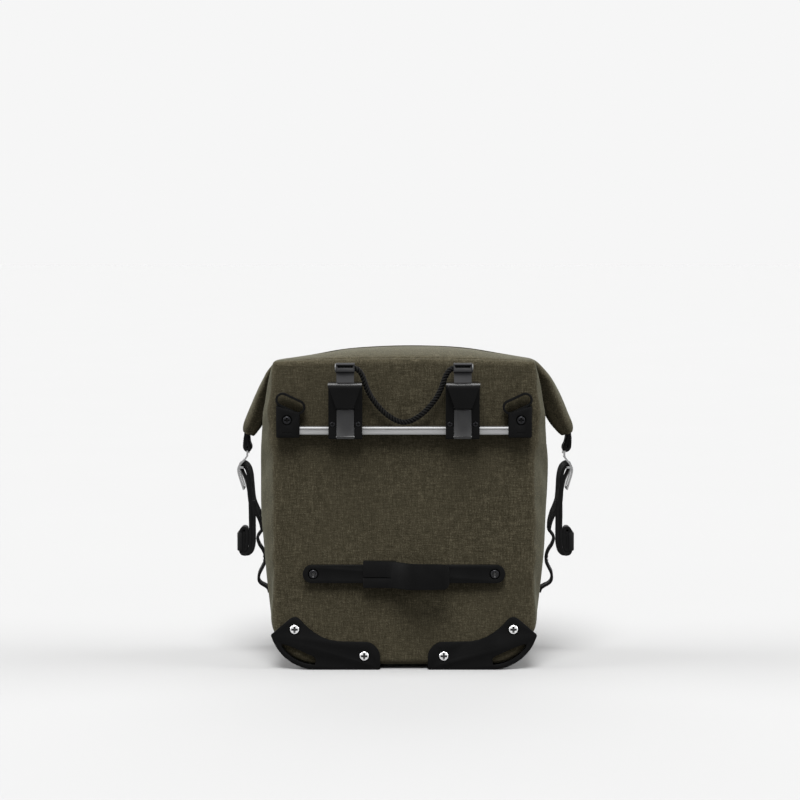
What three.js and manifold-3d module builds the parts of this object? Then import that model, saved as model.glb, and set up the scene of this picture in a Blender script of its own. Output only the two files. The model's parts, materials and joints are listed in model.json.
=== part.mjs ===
// A roll-top bicycle pannier: a soft bag with a stiffened back panel that carries two rack hooks on an
// aluminium rail, a lower stabilising hook on a plastic rail, two corner guards, and a strap on each side.
//
// Millimetres, +Z up, standing on the ground at z = 0. The hooks face -Y, the bag's front faces +Y, and
// X runs along the rack. Hardware on the back is drawn by its height z and by `out`, how far it stands
// off the back panel's outer face, so a piece with out = 12 lies 12 mm towards -Y from that face.
import * as THREE from "three";
import { mergeVertices } from "three/addons/utils/BufferGeometryUtils.js";
import Module from "manifold-3d";

const wasm = await Module();
wasm.setup();

// ---------------------------------------------------------------- driving dimensions

const GAP = 0.3; // clearance between neighbouring pieces
const CLOTH = 2; // thickness of the coated fabric as modelled

const BAG = {
  half: 131.5, // half the width of the back panel
  depth: 145,
  top: 311.2, // height of the back panel's top corners
  crown: 3.5, // how much higher the back panel's top edge is in the middle
  sideTop: 298, // the height of the sides' upper edges
  bottom: 4.2, // the back panel's lower edge, above the ground
  cornerRadius: 44,
  bulge: 15.8, // how far a filled side stands out past the back panel
  bulgeHeight: 205, // the height at which it stands out most
  bulgeBelow: 180, // and how far below that height it dies out
  pinch: 19, // how far the rolled mouth pulls the top of a side inwards
};
const BOARD = { inset: 6, from: 2.4, to: 4.4, bossRadius: 5.5, bossTo: 9 };
const ROLL = { topMid: 324, drop: 14.4, thick: 17.5, halfDepth: 22, middle: 72, endX: 162, endZ: 236, shift: 4.2 };

const RAIL = { z: 242.1, height: 8.2, from: 4, to: 12, half: 121, grooveZ: 1, grooveDeep: 0.7 };
const END = { inner: 104, outer: 127.3, bottom: 235.3, innerTop: 259.8, outerTop: 266.7, out: 15 };
const RING = { x0: 105.5, z0: 265.4, x1: 121, z1: 272.7, outer: 7.2, inner: 5.1, from: 4, to: 11 };
const END_SCREW = { x: 116.5, z: 252.8 };

const HOOK = {
  x: 58.4, // distance of each hook from the middle of the bag
  half: 16.75,
  bottom: 234,
  top: 290.5,
  back: 1.2,
  front: 16.5, // front of the cheeks, where the rack tube's space begins
  tubeTop: 286.2,
  fingerIn: 34.5,
  fingerOut: 39.5,
  fingerTip: 265,
  channelHalf: 9.1, // the channel that the grey pieces run in
  channelBack: 12.7,
};
const STRIP = { half: 8.75, from: 13, to: 15.6, bottom: 272.2, legBottom: 264.8, eyeBottom: 299.9, eyeTop: 309.7 };
const EYE = { out: 14, z: 304.8, half: 9.3, depth: 4.6, hole: 3.5 };
const BOLT = { half: 6, from: 11.5, to: 26, bottom: 264.6, top: 270 };
const LEVER = { half: 8.6, from: 13.2, to: 16.4, top: 263.4, pinOut: 14.9, pinZ: 236.7, pinRadius: 1.2 };
const CLAMP = { from: 0.8, to: 3.6, bottom: 234.5, top: 253.2 };
const HOOK_SCREW = { x: 12.8, z: 248.9 };
const ROPE = { radius: 2.8, sides: 8, steps: 50 };

const LOWER = { z: 97.5, half: 101.5, height: 18, from: 0.3, neckFrom: 2.6, neckTo: 4.8, to: 7.6, neck: 12.4 };
const LOWER_SCREW_X = 91;
const ARM = { left: -41, baseRight: -8, tip: 45, height: 27, wall: 3 };

const GUARD = { face: 3.4, lip: 3.5, lipDepth: 16, inner: 24 };
const GUARD_SCREWS = [[110, 41], [40, 14]];

const WEBBING = { thick: 1.6, half: 10, middle: 72 };
const G_HOOK = { thick: 1.8, half: 13.4, windowHalf: 10.8 };
const STRAP_BAR = { x: 165.6, z: 198.4, radius: 1.1 };

const BACK_Y = (HOOK.fingerOut - BAG.depth) / 2; // puts the middle of the whole depth at y = 0

// ---------------------------------------------------------------- materials

const finish = (color, roughness, metalness = 0) =>
  new THREE.MeshStandardMaterial({ color, roughness, metalness });
const canvas = finish(0x3f3a2c, 0.85);
const webbing = finish(0x101010, 0.8);
const cord = finish(0x141414, 0.8);
const blackPlastic = finish(0x1a1a1a, 0.5);
const greyPlastic = finish(0x424242, 0.5);
const boardPlastic = finish(0x202020, 0.6);
const aluminium = finish(0xb5b5b5, 0.35, 1);
const steel = finish(0xc8c8c8, 0.25, 1);
const blackScrew = finish(0x151515, 0.35, 0.6);
const rubber = finish(0x222222, 0.9);

// ---------------------------------------------------------------- solids

function solid(geometry) {
  const bare = geometry.clone();
  for (const name of Object.keys(bare.attributes)) {
    if (name !== "position") bare.deleteAttribute(name);
  }
  const merged = mergeVertices(bare, 1e-4);
  return new wasm.Manifold(
    new wasm.Mesh({
      numProp: 3,
      vertProperties: new Float32Array(merged.attributes.position.array),
      triVerts: new Uint32Array(merged.index.array),
    }),
  );
}

const join = (...bodies) => bodies.reduce((all, body) => all.add(body));
const cut = (body, ...tools) => tools.reduce((left, tool) => left.subtract(tool), body);

function mesh(name, body, material) {
  const made = body.getMesh();
  const geometry = new THREE.BufferGeometry();
  geometry.setAttribute("position", new THREE.BufferAttribute(made.vertProperties, 3));
  geometry.setIndex(new THREE.BufferAttribute(made.triVerts, 1));
  geometry.computeVertexNormals();
  const node = new THREE.Mesh(geometry, material);
  node.name = name;
  return node;
}

function group(...children) {
  const made = new THREE.Group();
  made.add(...children);
  return made;
}

const polygon = (points) => new THREE.Shape(points.map(([a, b]) => new THREE.Vector2(a, b)));

// An outline in x and z, extruded away from the back panel from one `out` to another.
function plate(outline, from, to, curveSegments = 8) {
  const geometry = new THREE.ExtrudeGeometry(outline, { depth: to - from, bevelEnabled: false, curveSegments });
  return solid(geometry.rotateX(Math.PI / 2).translate(0, -from, 0));
}

// An outline in x and z, extruded forwards through the bag, from one y to another.
const slab = (outline, from, to, curveSegments) => plate(outline, -to, -from, curveSegments);

// A section in `out` and z, extruded along x from -half to half.
function bar(section, half, curveSegments = 8) {
  const geometry = new THREE.ExtrudeGeometry(section, { depth: 2 * half, bevelEnabled: false, curveSegments });
  const turn = new THREE.Matrix4().makeBasis(
    new THREE.Vector3(0, -1, 0),
    new THREE.Vector3(0, 0, 1),
    new THREE.Vector3(-1, 0, 0),
  );
  return solid(geometry.applyMatrix4(turn).translate(half, 0, 0));
}

// A box from its limits in x, `out` and z.
function box([x0, x1], [out0, out1], [z0, z1]) {
  const geometry = new THREE.BoxGeometry(x1 - x0, out1 - out0, z1 - z0);
  return solid(geometry.translate((x0 + x1) / 2, -(out0 + out1) / 2, (z0 + z1) / 2));
}

// A round rod along y, from one `out` to another.
function stud(radius, x, z, from, to, segments = 16) {
  const geometry = new THREE.CylinderGeometry(radius, radius, to - from, segments);
  return solid(geometry.translate(0, -(from + to) / 2, 0).translate(x, 0, z));
}

// A round rod along x, centred on x = 0.
function axle(radius, half, out, z, segments = 16) {
  const geometry = new THREE.CylinderGeometry(radius, radius, 2 * half, segments);
  return solid(geometry.rotateZ(Math.PI / 2).translate(0, -out, z));
}

// The outline of a strip of even thickness whose middle follows the points.
function strip(points, thick) {
  const sides = [[], []];
  points.forEach(([x, z], i) => {
    const [ax, az] = points[Math.max(i - 1, 0)];
    const [bx, bz] = points[Math.min(i + 1, points.length - 1)];
    const length = Math.hypot(bx - ax, bz - az);
    const nx = (-(bz - az) / length) * (thick / 2);
    const nz = ((bx - ax) / length) * (thick / 2);
    sides[0].push([x + nx, z + nz]);
    sides[1].unshift([x - nx, z - nz]);
  });
  return polygon([...sides[0], ...sides[1]]);
}

// Points at even steps along a smooth curve through the given ones.
const smooth = (points, count) =>
  new THREE.SplineCurve(points.map(([x, z]) => new THREE.Vector2(x, z)))
    .getSpacedPoints(count)
    .map((p) => [p.x, p.y]);

function stadium(x0, z0, x1, z1, radius) {
  const along = Math.atan2(z1 - z0, x1 - x0);
  const outline = new THREE.Shape();
  outline.absarc(x0, z0, radius, along + Math.PI / 2, along - Math.PI / 2 + 2 * Math.PI, false);
  outline.absarc(x1, z1, radius, along - Math.PI / 2, along + Math.PI / 2, false);
  outline.closePath();
  return outline;
}

function roundedBox(x0, x1, z0, z1, radius) {
  const outline = new THREE.Shape();
  outline.absarc(x1 - radius, z0 + radius, radius, -Math.PI / 2, 0, false);
  outline.absarc(x1 - radius, z1 - radius, radius, 0, Math.PI / 2, false);
  outline.absarc(x0 + radius, z1 - radius, radius, Math.PI / 2, Math.PI, false);
  outline.absarc(x0 + radius, z0 + radius, radius, Math.PI, 1.5 * Math.PI, false);
  outline.closePath();
  return outline;
}

// A pan-head screw with a cross recess. Its head stands on the face at `out`, and its shank runs inwards.
function screw({ x, z, out, head, headHeight, shank, length, recess = 1.3 }) {
  const profile = [
    [0, -length],
    [shank, -length],
    [shank, 0],
    [head, 0],
    [head, headHeight * 0.35],
    [head * 0.86, headHeight * 0.8],
    [head * 0.55, headHeight],
    [0, headHeight],
  ].map(([r, h]) => new THREE.Vector2(r, h));
  // A lathe turns about +Y; the screw's head points to -Y.
  const body = solid(new THREE.LatheGeometry(profile, 16).rotateX(Math.PI).translate(x, -out, z));
  const reach = head * 0.62;
  const face = out + headHeight;
  const slots = [
    box([x - reach, x + reach], [face - recess, face + 1], [z - head / 8, z + head / 8]),
    box([x - head / 8, x + head / 8], [face - recess, face + 1], [z - reach, z + reach]),
  ];
  return cut(body, ...slots);
}

// ---------------------------------------------------------------- the bag

const PANEL_HOLES = [
  [END_SCREW.x, END_SCREW.z],
  [LOWER_SCREW_X, LOWER.z],
  ...GUARD_SCREWS,
].flatMap(([x, z]) => [[x, z], [-x, z]]);

const HOLE_RADIUS = 2.9;
const SHANK_RADIUS = 2.4;

// The bag's outline seen from the back: round lower corners and a slightly crowned top edge.
function bagOutline(half, bottom, top, crown, radius) {
  const outline = new THREE.Shape();
  outline.moveTo(-half, top);
  outline.absarc(-half + radius, bottom + radius, radius, Math.PI, 1.5 * Math.PI, false);
  outline.absarc(half - radius, bottom + radius, radius, 1.5 * Math.PI, 2 * Math.PI, false);
  outline.lineTo(half, top);
  outline.quadraticCurveTo(0, top + 2 * crown, -half, top);
  return outline;
}

function backPanel() {
  const outline = bagOutline(BAG.half, BAG.bottom, BAG.top, BAG.crown, BAG.cornerRadius);
  const holes = PANEL_HOLES.map(([x, z]) => stud(HOLE_RADIUS, x, z, -BOARD.bossTo, 1));
  return mesh("back_panel", cut(slab(outline, 0, CLOTH), ...holes), canvas);
}

// A stiff sheet inside the back panel, with a boss for each screw of the corner guards.
function backBoard() {
  const { inset, from, to, bossRadius, bossTo } = BOARD;
  const radius = BAG.cornerRadius - inset;
  const outline = bagOutline(BAG.half - inset, BAG.bottom + inset, BAG.sideTop - 2 * inset, 0, radius);
  const bosses = GUARD_SCREWS.flatMap(([x, z]) => [x, -x].map((side) => stud(bossRadius, side, z, -bossTo, -to)));
  const holes = PANEL_HOLES.map(([x, z]) => stud(HOLE_RADIUS, x, z, -bossTo - 1, 1));
  return mesh("back_board", cut(join(slab(outline, from, to), ...bosses), ...holes), boardPlastic);
}

// How far the side of the filled bag stands out past the back panel, at a height and a depth. Near the
// top it turns inwards, under the rolled mouth.
function bulgeAt(z, y) {
  const { bulge, bulgeHeight, bulgeBelow, pinch, sideTop } = BAG;
  const across = Math.sin((Math.PI * y) / BAG.depth);
  if (z < bulgeHeight) return bulge * Math.max(0, 1 - ((bulgeHeight - z) / bulgeBelow) ** 2) * across ** 0.8;
  const rise = (z - bulgeHeight) / (sideTop - bulgeHeight);
  return (bulge - (bulge + pinch) * rise ** 2) * across ** 0.6;
}

// One long strip makes both sides and the base: a U with round corners, bulging outwards between the
// back and the front, whose base sinks to the ground at the front.
function gussetWrap() {
  const { half, bottom, sideTop, cornerRadius: radius, depth } = BAG;
  const sideSteps = 7;
  const cornerSteps = 6;
  const right = []; // points and outward directions, from the base up the right side
  for (let i = 0; i <= cornerSteps; i++) {
    const turn = (-Math.PI / 2) * (1 - i / cornerSteps);
    const [nx, nz] = [Math.cos(turn), Math.sin(turn)];
    right.push({ x: half - radius + radius * nx, z: bottom + radius + radius * nz, nx, nz });
  }
  for (let i = 1; i <= sideSteps; i++) {
    right.push({ x: half, z: bottom + radius + ((sideTop - bottom - radius) * i) / sideSteps, nx: 1, nz: 0 });
  }
  const whole = [...right.toReversed().map((p) => ({ ...p, x: -p.x, nx: -p.nx })), ...right];
  const ringAt = (y) => {
    const side = (inset) =>
      whole.map(({ x, z, nx, nz }) => {
        const sink = bottom * (y / depth) * Math.min(0, nz);
        return new THREE.Vector3(x + nx * (bulgeAt(z, y) - inset), y, z + sink - nz * inset);
      });
    return [...side(0), ...side(CLOTH).toReversed()];
  };
  const stations = [CLOTH + GAP, 14, 34, depth / 2, depth - 34, depth - 14, depth - CLOTH - GAP];
  return mesh("gusset_wrap", cut(loft(stations.map(ringAt)), rollBody(2 * GAP)), canvas);
}

// A closed body through rings of equal length that run anticlockwise in x and z, capped at both ends.
function loft(rings) {
  const size = rings[0].length;
  const points = rings.flat();
  const index = [];
  for (let r = 0; r + 1 < rings.length; r++) {
    for (let i = 0; i < size; i++) {
      const next = (i + 1) % size;
      const [a, b, c, d] = [r * size + i, r * size + next, (r + 1) * size + next, (r + 1) * size + i];
      index.push(a, c, b, a, d, c);
    }
  }
  const flat = rings[0].map((p) => new THREE.Vector2(p.x, p.z));
  const caps = THREE.ShapeUtils.triangulateShape(flat, []);
  const last = (rings.length - 1) * size;
  for (const [a, b, c] of caps) index.push(a, b, c, last + a, last + c, last + b);
  const geometry = new THREE.BufferGeometry().setFromPoints(points);
  geometry.setIndex(index);
  return solid(geometry);
}

const FRONT_TOP = 303;

function frontPanel() {
  const outline = bagOutline(BAG.half, 0, FRONT_TOP, 0, BAG.cornerRadius);
  return mesh("front_panel", slab(outline, BAG.depth - CLOTH, BAG.depth), canvas);
}

// The cloth above the back and front panels, up to the roll between them.
function collar(name, fromY, fromZ, toY, toZ) {
  const section = strip([[-fromY, fromZ], [-toY, toZ]], CLOTH);
  return mesh(name, bar(section, BAG.half - CLOTH - 1.5), canvas);
}

// The rolled-up mouth of the bag: it lies over the top, and its ends are pulled down at the sides.
function rollBody(extra = 0) {
  const { topMid, drop, thick, halfDepth, middle, endX, endZ, shift } = ROLL;
  const shoulder = 118;
  const topSteps = 12;
  const heightAt = (x) => topMid - thick / 2 - drop * (x / BAG.half) ** 2;
  const arch = Array.from({ length: topSteps + 1 }, (_, i) => {
    const x = shoulder * (1 - (2 * i) / topSteps);
    return [x, heightAt(x)];
  });
  const right = [[endX, endZ], [endX - 17, endZ + 33], [134, 286]];
  const left = right.toReversed().map(([x, z]) => [-x, z]);
  const reach = halfDepth + extra;
  const body = slab(strip([...right, ...arch, ...left], thick + 2 * extra), middle - reach, middle + reach);
  return body.translate([shift, 0, 0]);
}

function bag() {
  const rollBack = ROLL.middle - ROLL.halfDepth - 1.2;
  const rollFront = ROLL.middle + ROLL.halfDepth + 1.2;
  return group(
    backPanel(),
    backBoard(),
    gussetWrap(),
    frontPanel(),
    collar("collar_back", 3, BAG.top - 1.6, rollBack, BAG.top + 2),
    collar("collar_front", rollFront, BAG.top, BAG.depth - 4, FRONT_TOP - 2),
    mesh("roll_top", rollBody(), canvas),
  );
}

// ---------------------------------------------------------------- the upper rail

// An extruded bar with rounded edges and a shallow groove along its face.
function mountingRail() {
  const { z, height, from, to, half, grooveZ, grooveDeep } = RAIL;
  const edge = 1.4;
  const [low, high] = [z - height / 2, z + height / 2];
  const section = polygon([
    [from, low],
    [to - edge, low],
    [to - 0.4, low + 0.4],
    [to, low + edge],
    [to, z + grooveZ - 0.5],
    [to - grooveDeep, z + grooveZ],
    [to, z + grooveZ + 0.5],
    [to, high - edge],
    [to - 0.4, high - 0.4],
    [to - edge, high],
    [from, high],
  ]);
  return mesh("mounting_rail", bar(section, half), aluminium);
}

// The block that holds the right-hand end of the rail, with an oval loop for a shoulder strap.
function railEnd(name) {
  const { inner, outer, bottom, innerTop, outerTop, out } = END;
  const bevel = 1.2;
  const outline = (inset) =>
    polygon([
      [inner + inset, bottom + inset + 1],
      [inner + inset + 1, bottom + inset],
      [outer - inset - 1, bottom + inset],
      [outer - inset, bottom + inset + 1],
      [outer - inset, outerTop - inset],
      [inner + inset, innerTop - inset],
    ]);
  const body = join(plate(outline(0), GAP, out - bevel), plate(outline(bevel * 0.6), out - bevel, out));
  const ring = plate(stadium(RING.x0, RING.z0, RING.x1, RING.z1, RING.outer), RING.from, RING.to);
  const hole = plate(stadium(RING.x0, RING.z0, RING.x1, RING.z1, RING.inner), -1, out + 1);
  const { x, z } = END_SCREW;
  const rail = box(
    [inner - 1, RAIL.half + GAP],
    [RAIL.from - GAP, RAIL.to + GAP],
    [RAIL.z - RAIL.height / 2 - GAP, RAIL.z + RAIL.height / 2 + GAP],
  );
  const mark = box([x - 5, x + 5], [out - 0.6, out + 1], [RAIL.z - 2.6, RAIL.z - 1.6]);
  const seat = stud(5.3, x, z, out - 2, out + 1, 20);
  const block = cut(join(body, ring), hole, rail, mark, seat, stud(HOLE_RADIUS, x, z, -1, out));
  return mesh(name, block, blackPlastic);
}

function railEndScrew(name) {
  const size = { head: 4.8, headHeight: 2.6, shank: SHANK_RADIUS };
  return mesh(name, screw({ ...END_SCREW, out: END.out - 2 + 0.05, length: 22, ...size }), blackScrew);
}

// A nut with a wide flange, inside the bag.
function nut(name, x, z) {
  const flange = stud(7, x, z, -BOARD.to - GAP - 1.2, -BOARD.to - GAP, 18);
  const hexagon = stud(4.6, x, z, -BOARD.to - GAP - 5, -BOARD.to - GAP - 1.2, 6);
  return mesh(name, cut(join(flange, hexagon), stud(SHANK_RADIUS + GAP, x, z, -12, 0)), steel);
}

// ---------------------------------------------------------------- a rack hook

// The hook's body: two cheeks on the rail, a crown over the rack tube and a finger in front of it.
function hookBody(name) {
  const { half, bottom, top, back, front, tubeTop, fingerIn, fingerOut, fingerTip } = HOOK;
  const side = polygon([
    [RAIL.from + 0.1, bottom + 1],
    [RAIL.from + 1.1, bottom],
    [front - 1, bottom],
    [front, bottom + 1],
    [front, tubeTop - 3],
    [front + 1, tubeTop - 1],
    [front + 3, tubeTop],
    [fingerIn - 3, tubeTop],
    [fingerIn - 1, tubeTop - 1],
    [fingerIn, tubeTop - 3],
    [fingerIn, fingerTip + 2],
    [fingerIn + 1, fingerTip],
    [fingerOut - 1.4, fingerTip],
    [fingerOut, fingerTip + 1.6],
    [fingerOut, top - 4],
    [fingerOut - 1, top - 1.4],
    [fingerOut - 3.4, top],
    [back, top],
    [back, CLAMP.top + GAP],
    [RAIL.from + 0.1, CLAMP.top + GAP],
  ]);
  // Seen from the front, the finger narrows to its tip.
  const taper = polygon([
    [-half, top],
    [-half, top - 3.2],
    [-half + 1.6, tubeTop - 0.4],
    [-LEVER.half, fingerTip + 1.5],
    [-LEVER.half + 1.5, fingerTip],
    [LEVER.half - 1.5, fingerTip],
    [LEVER.half, fingerTip + 1.5],
    [half - 1.6, tubeTop - 0.4],
    [half, top - 3.2],
    [half, top],
  ]);
  const keep = join(
    box([-half, half], [0, front + 4], [bottom, top]),
    plate(taper, front + 3, fingerOut + 1),
  );
  const railSlot = box(
    [-half - 1, half + 1],
    [0, RAIL.to + GAP],
    [RAIL.z - RAIL.height / 2 - GAP, RAIL.z + RAIL.height / 2 + GAP],
  );
  const { channelHalf, channelBack } = HOOK;
  const leverChannel = box([-channelHalf, channelHalf], [RAIL.to - 0.6, front + 1], [bottom - 1, LEVER.top + 0.5]);
  const stripChannel = box([-channelHalf, channelHalf], [channelBack, front + 1], [LEVER.top + 0.4, tubeTop]);
  const stripSlot = box([-channelHalf, channelHalf], [channelBack, STRIP.to + GAP], [tubeTop - 1, top + 1]);
  const boltHole = box([-BOLT.half - GAP, BOLT.half + GAP], [0, front + 1], [BOLT.bottom - GAP, BOLT.top + GAP]);
  const screwHoles = [-1, 1].flatMap((s) => [
    stud(1.7, s * HOOK_SCREW.x, HOOK_SCREW.z, 0, front + 1, 12),
    stud(2.9, s * HOOK_SCREW.x, HOOK_SCREW.z, front - 1, front + 1, 16),
  ]);
  const pinHole = axle(LEVER.pinRadius + GAP, half + 1, LEVER.pinOut, LEVER.pinZ, 12);
  const body = cut(
    bar(side, half).intersect(keep),
    railSlot,
    leverChannel,
    stripChannel,
    stripSlot,
    boltHole,
    ...screwHoles,
    pinHole,
  );
  return mesh(name, body, blackPlastic);
}

// The strip that is pulled up to open the hook, with an eye for the rope at its top.
function releaseStrip(name) {
  const { half, from, to, bottom, legBottom, eyeBottom, eyeTop } = STRIP;
  const { out, z, half: eyeHalf, depth, hole } = EYE;
  const flat = box([-half, half], [from, to], [bottom, eyeBottom + 0.5]);
  const legs = [-1, 1].map((s) => {
    const [a, b] = [s * (BOLT.half + 0.7), s * half];
    return box([Math.min(a, b), Math.max(a, b)], [from, to], [legBottom, bottom + 0.5]);
  });
  const edge = 1.4;
  const eye = bar(
    polygon([
      [out - depth, eyeBottom + edge],
      [out - depth + edge, eyeBottom],
      [out + depth - edge, eyeBottom],
      [out + depth, eyeBottom + edge],
      [out + depth, eyeTop - edge],
      [out + depth - edge, eyeTop],
      [out - depth + edge, eyeTop],
      [out - depth, eyeTop - edge],
    ]),
    eyeHalf,
  );
  const body = cut(join(flat, ...legs, eye), axle(hole, eyeHalf + 1, out, z, 16));
  return mesh(name, body, greyPlastic);
}

// The bolt that closes the tube's space from below. Its underside is bevelled, so a rack tube pushes it in.
function latchBolt(name) {
  const { half, from, to, bottom, top } = BOLT;
  const section = polygon([[from, bottom], [to - 5, bottom], [to, top - 1.2], [to, top], [from, top]]);
  return mesh(name, bar(section, half), greyPlastic);
}

// The lever that clamps the hook on the rail. It turns outwards about a pin at its lower end.
function clampLever(name) {
  const { half, from, to, top, pinOut, pinZ, pinRadius } = LEVER;
  const foot = HOOK.bottom + 0.2;
  const section = polygon([
    [from, foot + 1.6],
    [from + 1, foot],
    [to - 1.2, foot],
    [to, foot + 2],
    [to, top - 0.8],
    [to - 0.8, top],
    [from, top],
  ]);
  const body = cut(bar(section, half), axle(pinRadius + GAP, half + 1, pinOut, pinZ, 12));
  return mesh(name, body, greyPlastic);
}

function clampPlate(name) {
  const body = cut(
    box([-HOOK.half + 0.3, HOOK.half - 0.3], [CLAMP.from, CLAMP.to], [CLAMP.bottom, CLAMP.top]),
    ...[-1, 1].map((s) => stud(1.7, s * HOOK_SCREW.x, HOOK_SCREW.z, 0, 5, 12)),
  );
  return mesh(name, body, blackPlastic);
}

// A soft liner over the top and the far side of the tube's space, for thinner rack tubes.
function tubeInsert(name) {
  const { front, tubeTop, fingerIn, fingerTip } = HOOK;
  const thick = 1.1;
  const section = polygon([
    [front + 3.4, tubeTop - GAP],
    [fingerIn - 3, tubeTop - GAP],
    [fingerIn - 1.2, tubeTop - 1.2],
    [fingerIn - GAP, tubeTop - 3.2],
    [fingerIn - GAP, fingerTip + 3],
    [fingerIn - GAP - thick, fingerTip + 3],
    [fingerIn - GAP - thick, tubeTop - 3.6],
    [fingerIn - 3.6, tubeTop - GAP - thick],
    [front + 3.4, tubeTop - GAP - thick],
  ]);
  return mesh(name, bar(section, LEVER.half - 0.6), rubber);
}

function rackHook(side) {
  const names = (what) => `hook_${side}_${what}`;
  const size = { z: HOOK_SCREW.z, head: 2.6, headHeight: 1.4, shank: 1.4, out: HOOK.front - 1 + 0.05, recess: 0.8 };
  const made = group(
    hookBody(names("body")),
    releaseStrip(names("release_strip")),
    latchBolt(names("latch_bolt")),
    clampLever(names("clamp_lever")),
    mesh(names("lever_pin"), axle(LEVER.pinRadius, HOOK.half - 0.4, LEVER.pinOut, LEVER.pinZ, 12), steel),
    clampPlate(names("clamp_plate")),
    tubeInsert(names("tube_insert")),
    ...[["outer", -1], ["inner", 1]].map(([which, s]) =>
      mesh(names(`screw_${which}`), screw({ x: s * HOOK_SCREW.x, length: 14.2, ...size }), blackScrew),
    ),
  );
  return made;
}

// ---------------------------------------------------------------- the rope between the hooks

// Half of the rope's route, from the left hook's eye to the middle: x, `out` and z.
const ROPE_ROUTE = [
  [-67.4, 14, 304.8],
  [-62, 14, 304.8],
  [-56, 14, 304.8],
  [-50, 14, 304.8],
  [-44.6, 13.6, 302.6],
  [-40.6, 12.9, 298],
  [-37.6, 12, 292],
  [-34.2, 11, 284],
  [-30, 10.2, 275.6],
  [-25, 9.4, 267.6],
  [-19, 8.8, 260.4],
  [-12.6, 8.3, 254.8],
  [-6.4, 8, 251.6],
];
const ROPE_MIDDLE = [0, 8, 250.3];

function ropeHandle() {
  const other = ROPE_ROUTE.toReversed().map(([x, out, z]) => [-x, out, z]);
  const route = [...ROPE_ROUTE, ROPE_MIDDLE, ...other].map(([x, out, z]) => new THREE.Vector3(x, -out, z));
  const circle = Array.from({ length: ROPE.sides }, (_, i) => {
    const turn = (2 * Math.PI * i) / ROPE.sides;
    return [ROPE.radius * Math.cos(turn), ROPE.radius * Math.sin(turn)];
  });
  const geometry = new THREE.ExtrudeGeometry(polygon(circle), {
    steps: ROPE.steps,
    extrudePath: new THREE.CatmullRomCurve3(route),
    bevelEnabled: false,
  });
  return mesh("rope_handle", solid(geometry), cord);
}

// A metal cap on the end of the rope, outside the eye.
function ropeFerrule(name) {
  const cap = axle(4.1, 0.9, EYE.out, EYE.z, 16).translate([HOOK.x + EYE.half + GAP + 0.9, 0, 0]);
  return mesh(name, cap, aluminium);
}

// ---------------------------------------------------------------- the lower rail and its hook

// A flat rail with round ends and a narrower neck, so that the hook's claws can hold its head.
function lowerRail() {
  const { z, half, height, from, neckFrom, neckTo, to, neck } = LOWER;
  const radius = height / 2;
  const outline = stadium(-half + radius, z, half - radius, z, radius);
  const inner = LOWER_SCREW_X - 11;
  const groove = (low, high) => box([-inner, inner], [neckFrom, neckTo], [low, high]);
  const screwSeats = [-1, 1].flatMap((s) => [
    stud(HOLE_RADIUS, s * LOWER_SCREW_X, z, 0, to + 1),
    stud(5.4, s * LOWER_SCREW_X, z, to - 2.2, to + 1, 20),
  ]);
  const body = cut(
    plate(outline, from, to),
    groove(z + neck / 2, z + height),
    groove(z - height, z - neck / 2),
    ...screwSeats,
  );
  return mesh("lower_rail", body, blackPlastic);
}

// The stabilising hook: a base that slides on the lower rail, and an arm that bends outwards and along
// the bag, so that a strut of the rack lies between the arm and the rail.
function lowerHook() {
  const { left, baseRight, tip, height, wall } = ARM;
  const { z, neckFrom, neckTo, to, neck } = LOWER;
  const face = to + GAP;
  const halfRail = LOWER.height / 2 + GAP;
  const arm = [
    [left, face],
    [left, face + wall - 1],
    [left + 1, face + wall],
    [left + 22, face + wall + 0.6],
    [left + 30, face + wall + 3],
    [left + 37, face + wall + 9.5],
    [left + 44, face + wall + 15.5],
    [left + 52, face + wall + 18],
    [tip - 6, face + wall + 18],
    [tip - 1, face + wall + 17],
    [tip, face + wall + 15.5],
    [tip - 1, face + wall + 14],
    [tip - 6, face + wall + 14],
    [left + 53, face + wall + 14],
    [left + 46, face + wall + 11.8],
    [left + 40.5, face + wall + 7],
    [baseRight + 0.5, face + wall - 1],
    [baseRight, face],
  ];
  // The arm's section lies in x and `out`, and is extruded upwards.
  const geometry = new THREE.ExtrudeGeometry(polygon(arm.map(([x, out]) => [x, -out])), {
    depth: height,
    bevelEnabled: false,
  });
  const curved = solid(geometry.translate(0, 0, z - height / 2));
  const corner = 6;
  const half = height / 2;
  const rounded = new THREE.Shape();
  rounded.moveTo(left, z - half + 1);
  rounded.lineTo(left + 1, z - half);
  rounded.lineTo(tip - corner, z - half + 1);
  rounded.absarc(tip - corner, z - half + corner + 1, corner, -Math.PI / 2, 0, false);
  rounded.absarc(tip - corner, z + half - corner - 1, corner, 0, Math.PI / 2, false);
  rounded.lineTo(left + 1, z + half);
  rounded.lineTo(left, z + half - 1);
  const sides = [-1, 1].flatMap((s) => {
    const span = (a, b) => [Math.min(s * a, s * b) + z, Math.max(s * a, s * b) + z];
    return [
      box([left, baseRight], [neckFrom + GAP, face + 0.5], span(halfRail, half)),
      box([left, baseRight], [neckFrom + GAP, neckTo - GAP], span(neck / 2 + GAP, halfRail + 0.5)),
    ];
  });
  const slit = box([left - 1, left + 28], [face - 1, face + wall + 6], [z - 3.5, z - 2.6]);
  const body = cut(join(curved, ...sides).intersect(plate(rounded, 0, 60)), slit);
  return mesh("lower_hook", body, blackPlastic);
}

// ---------------------------------------------------------------- a corner guard

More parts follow.
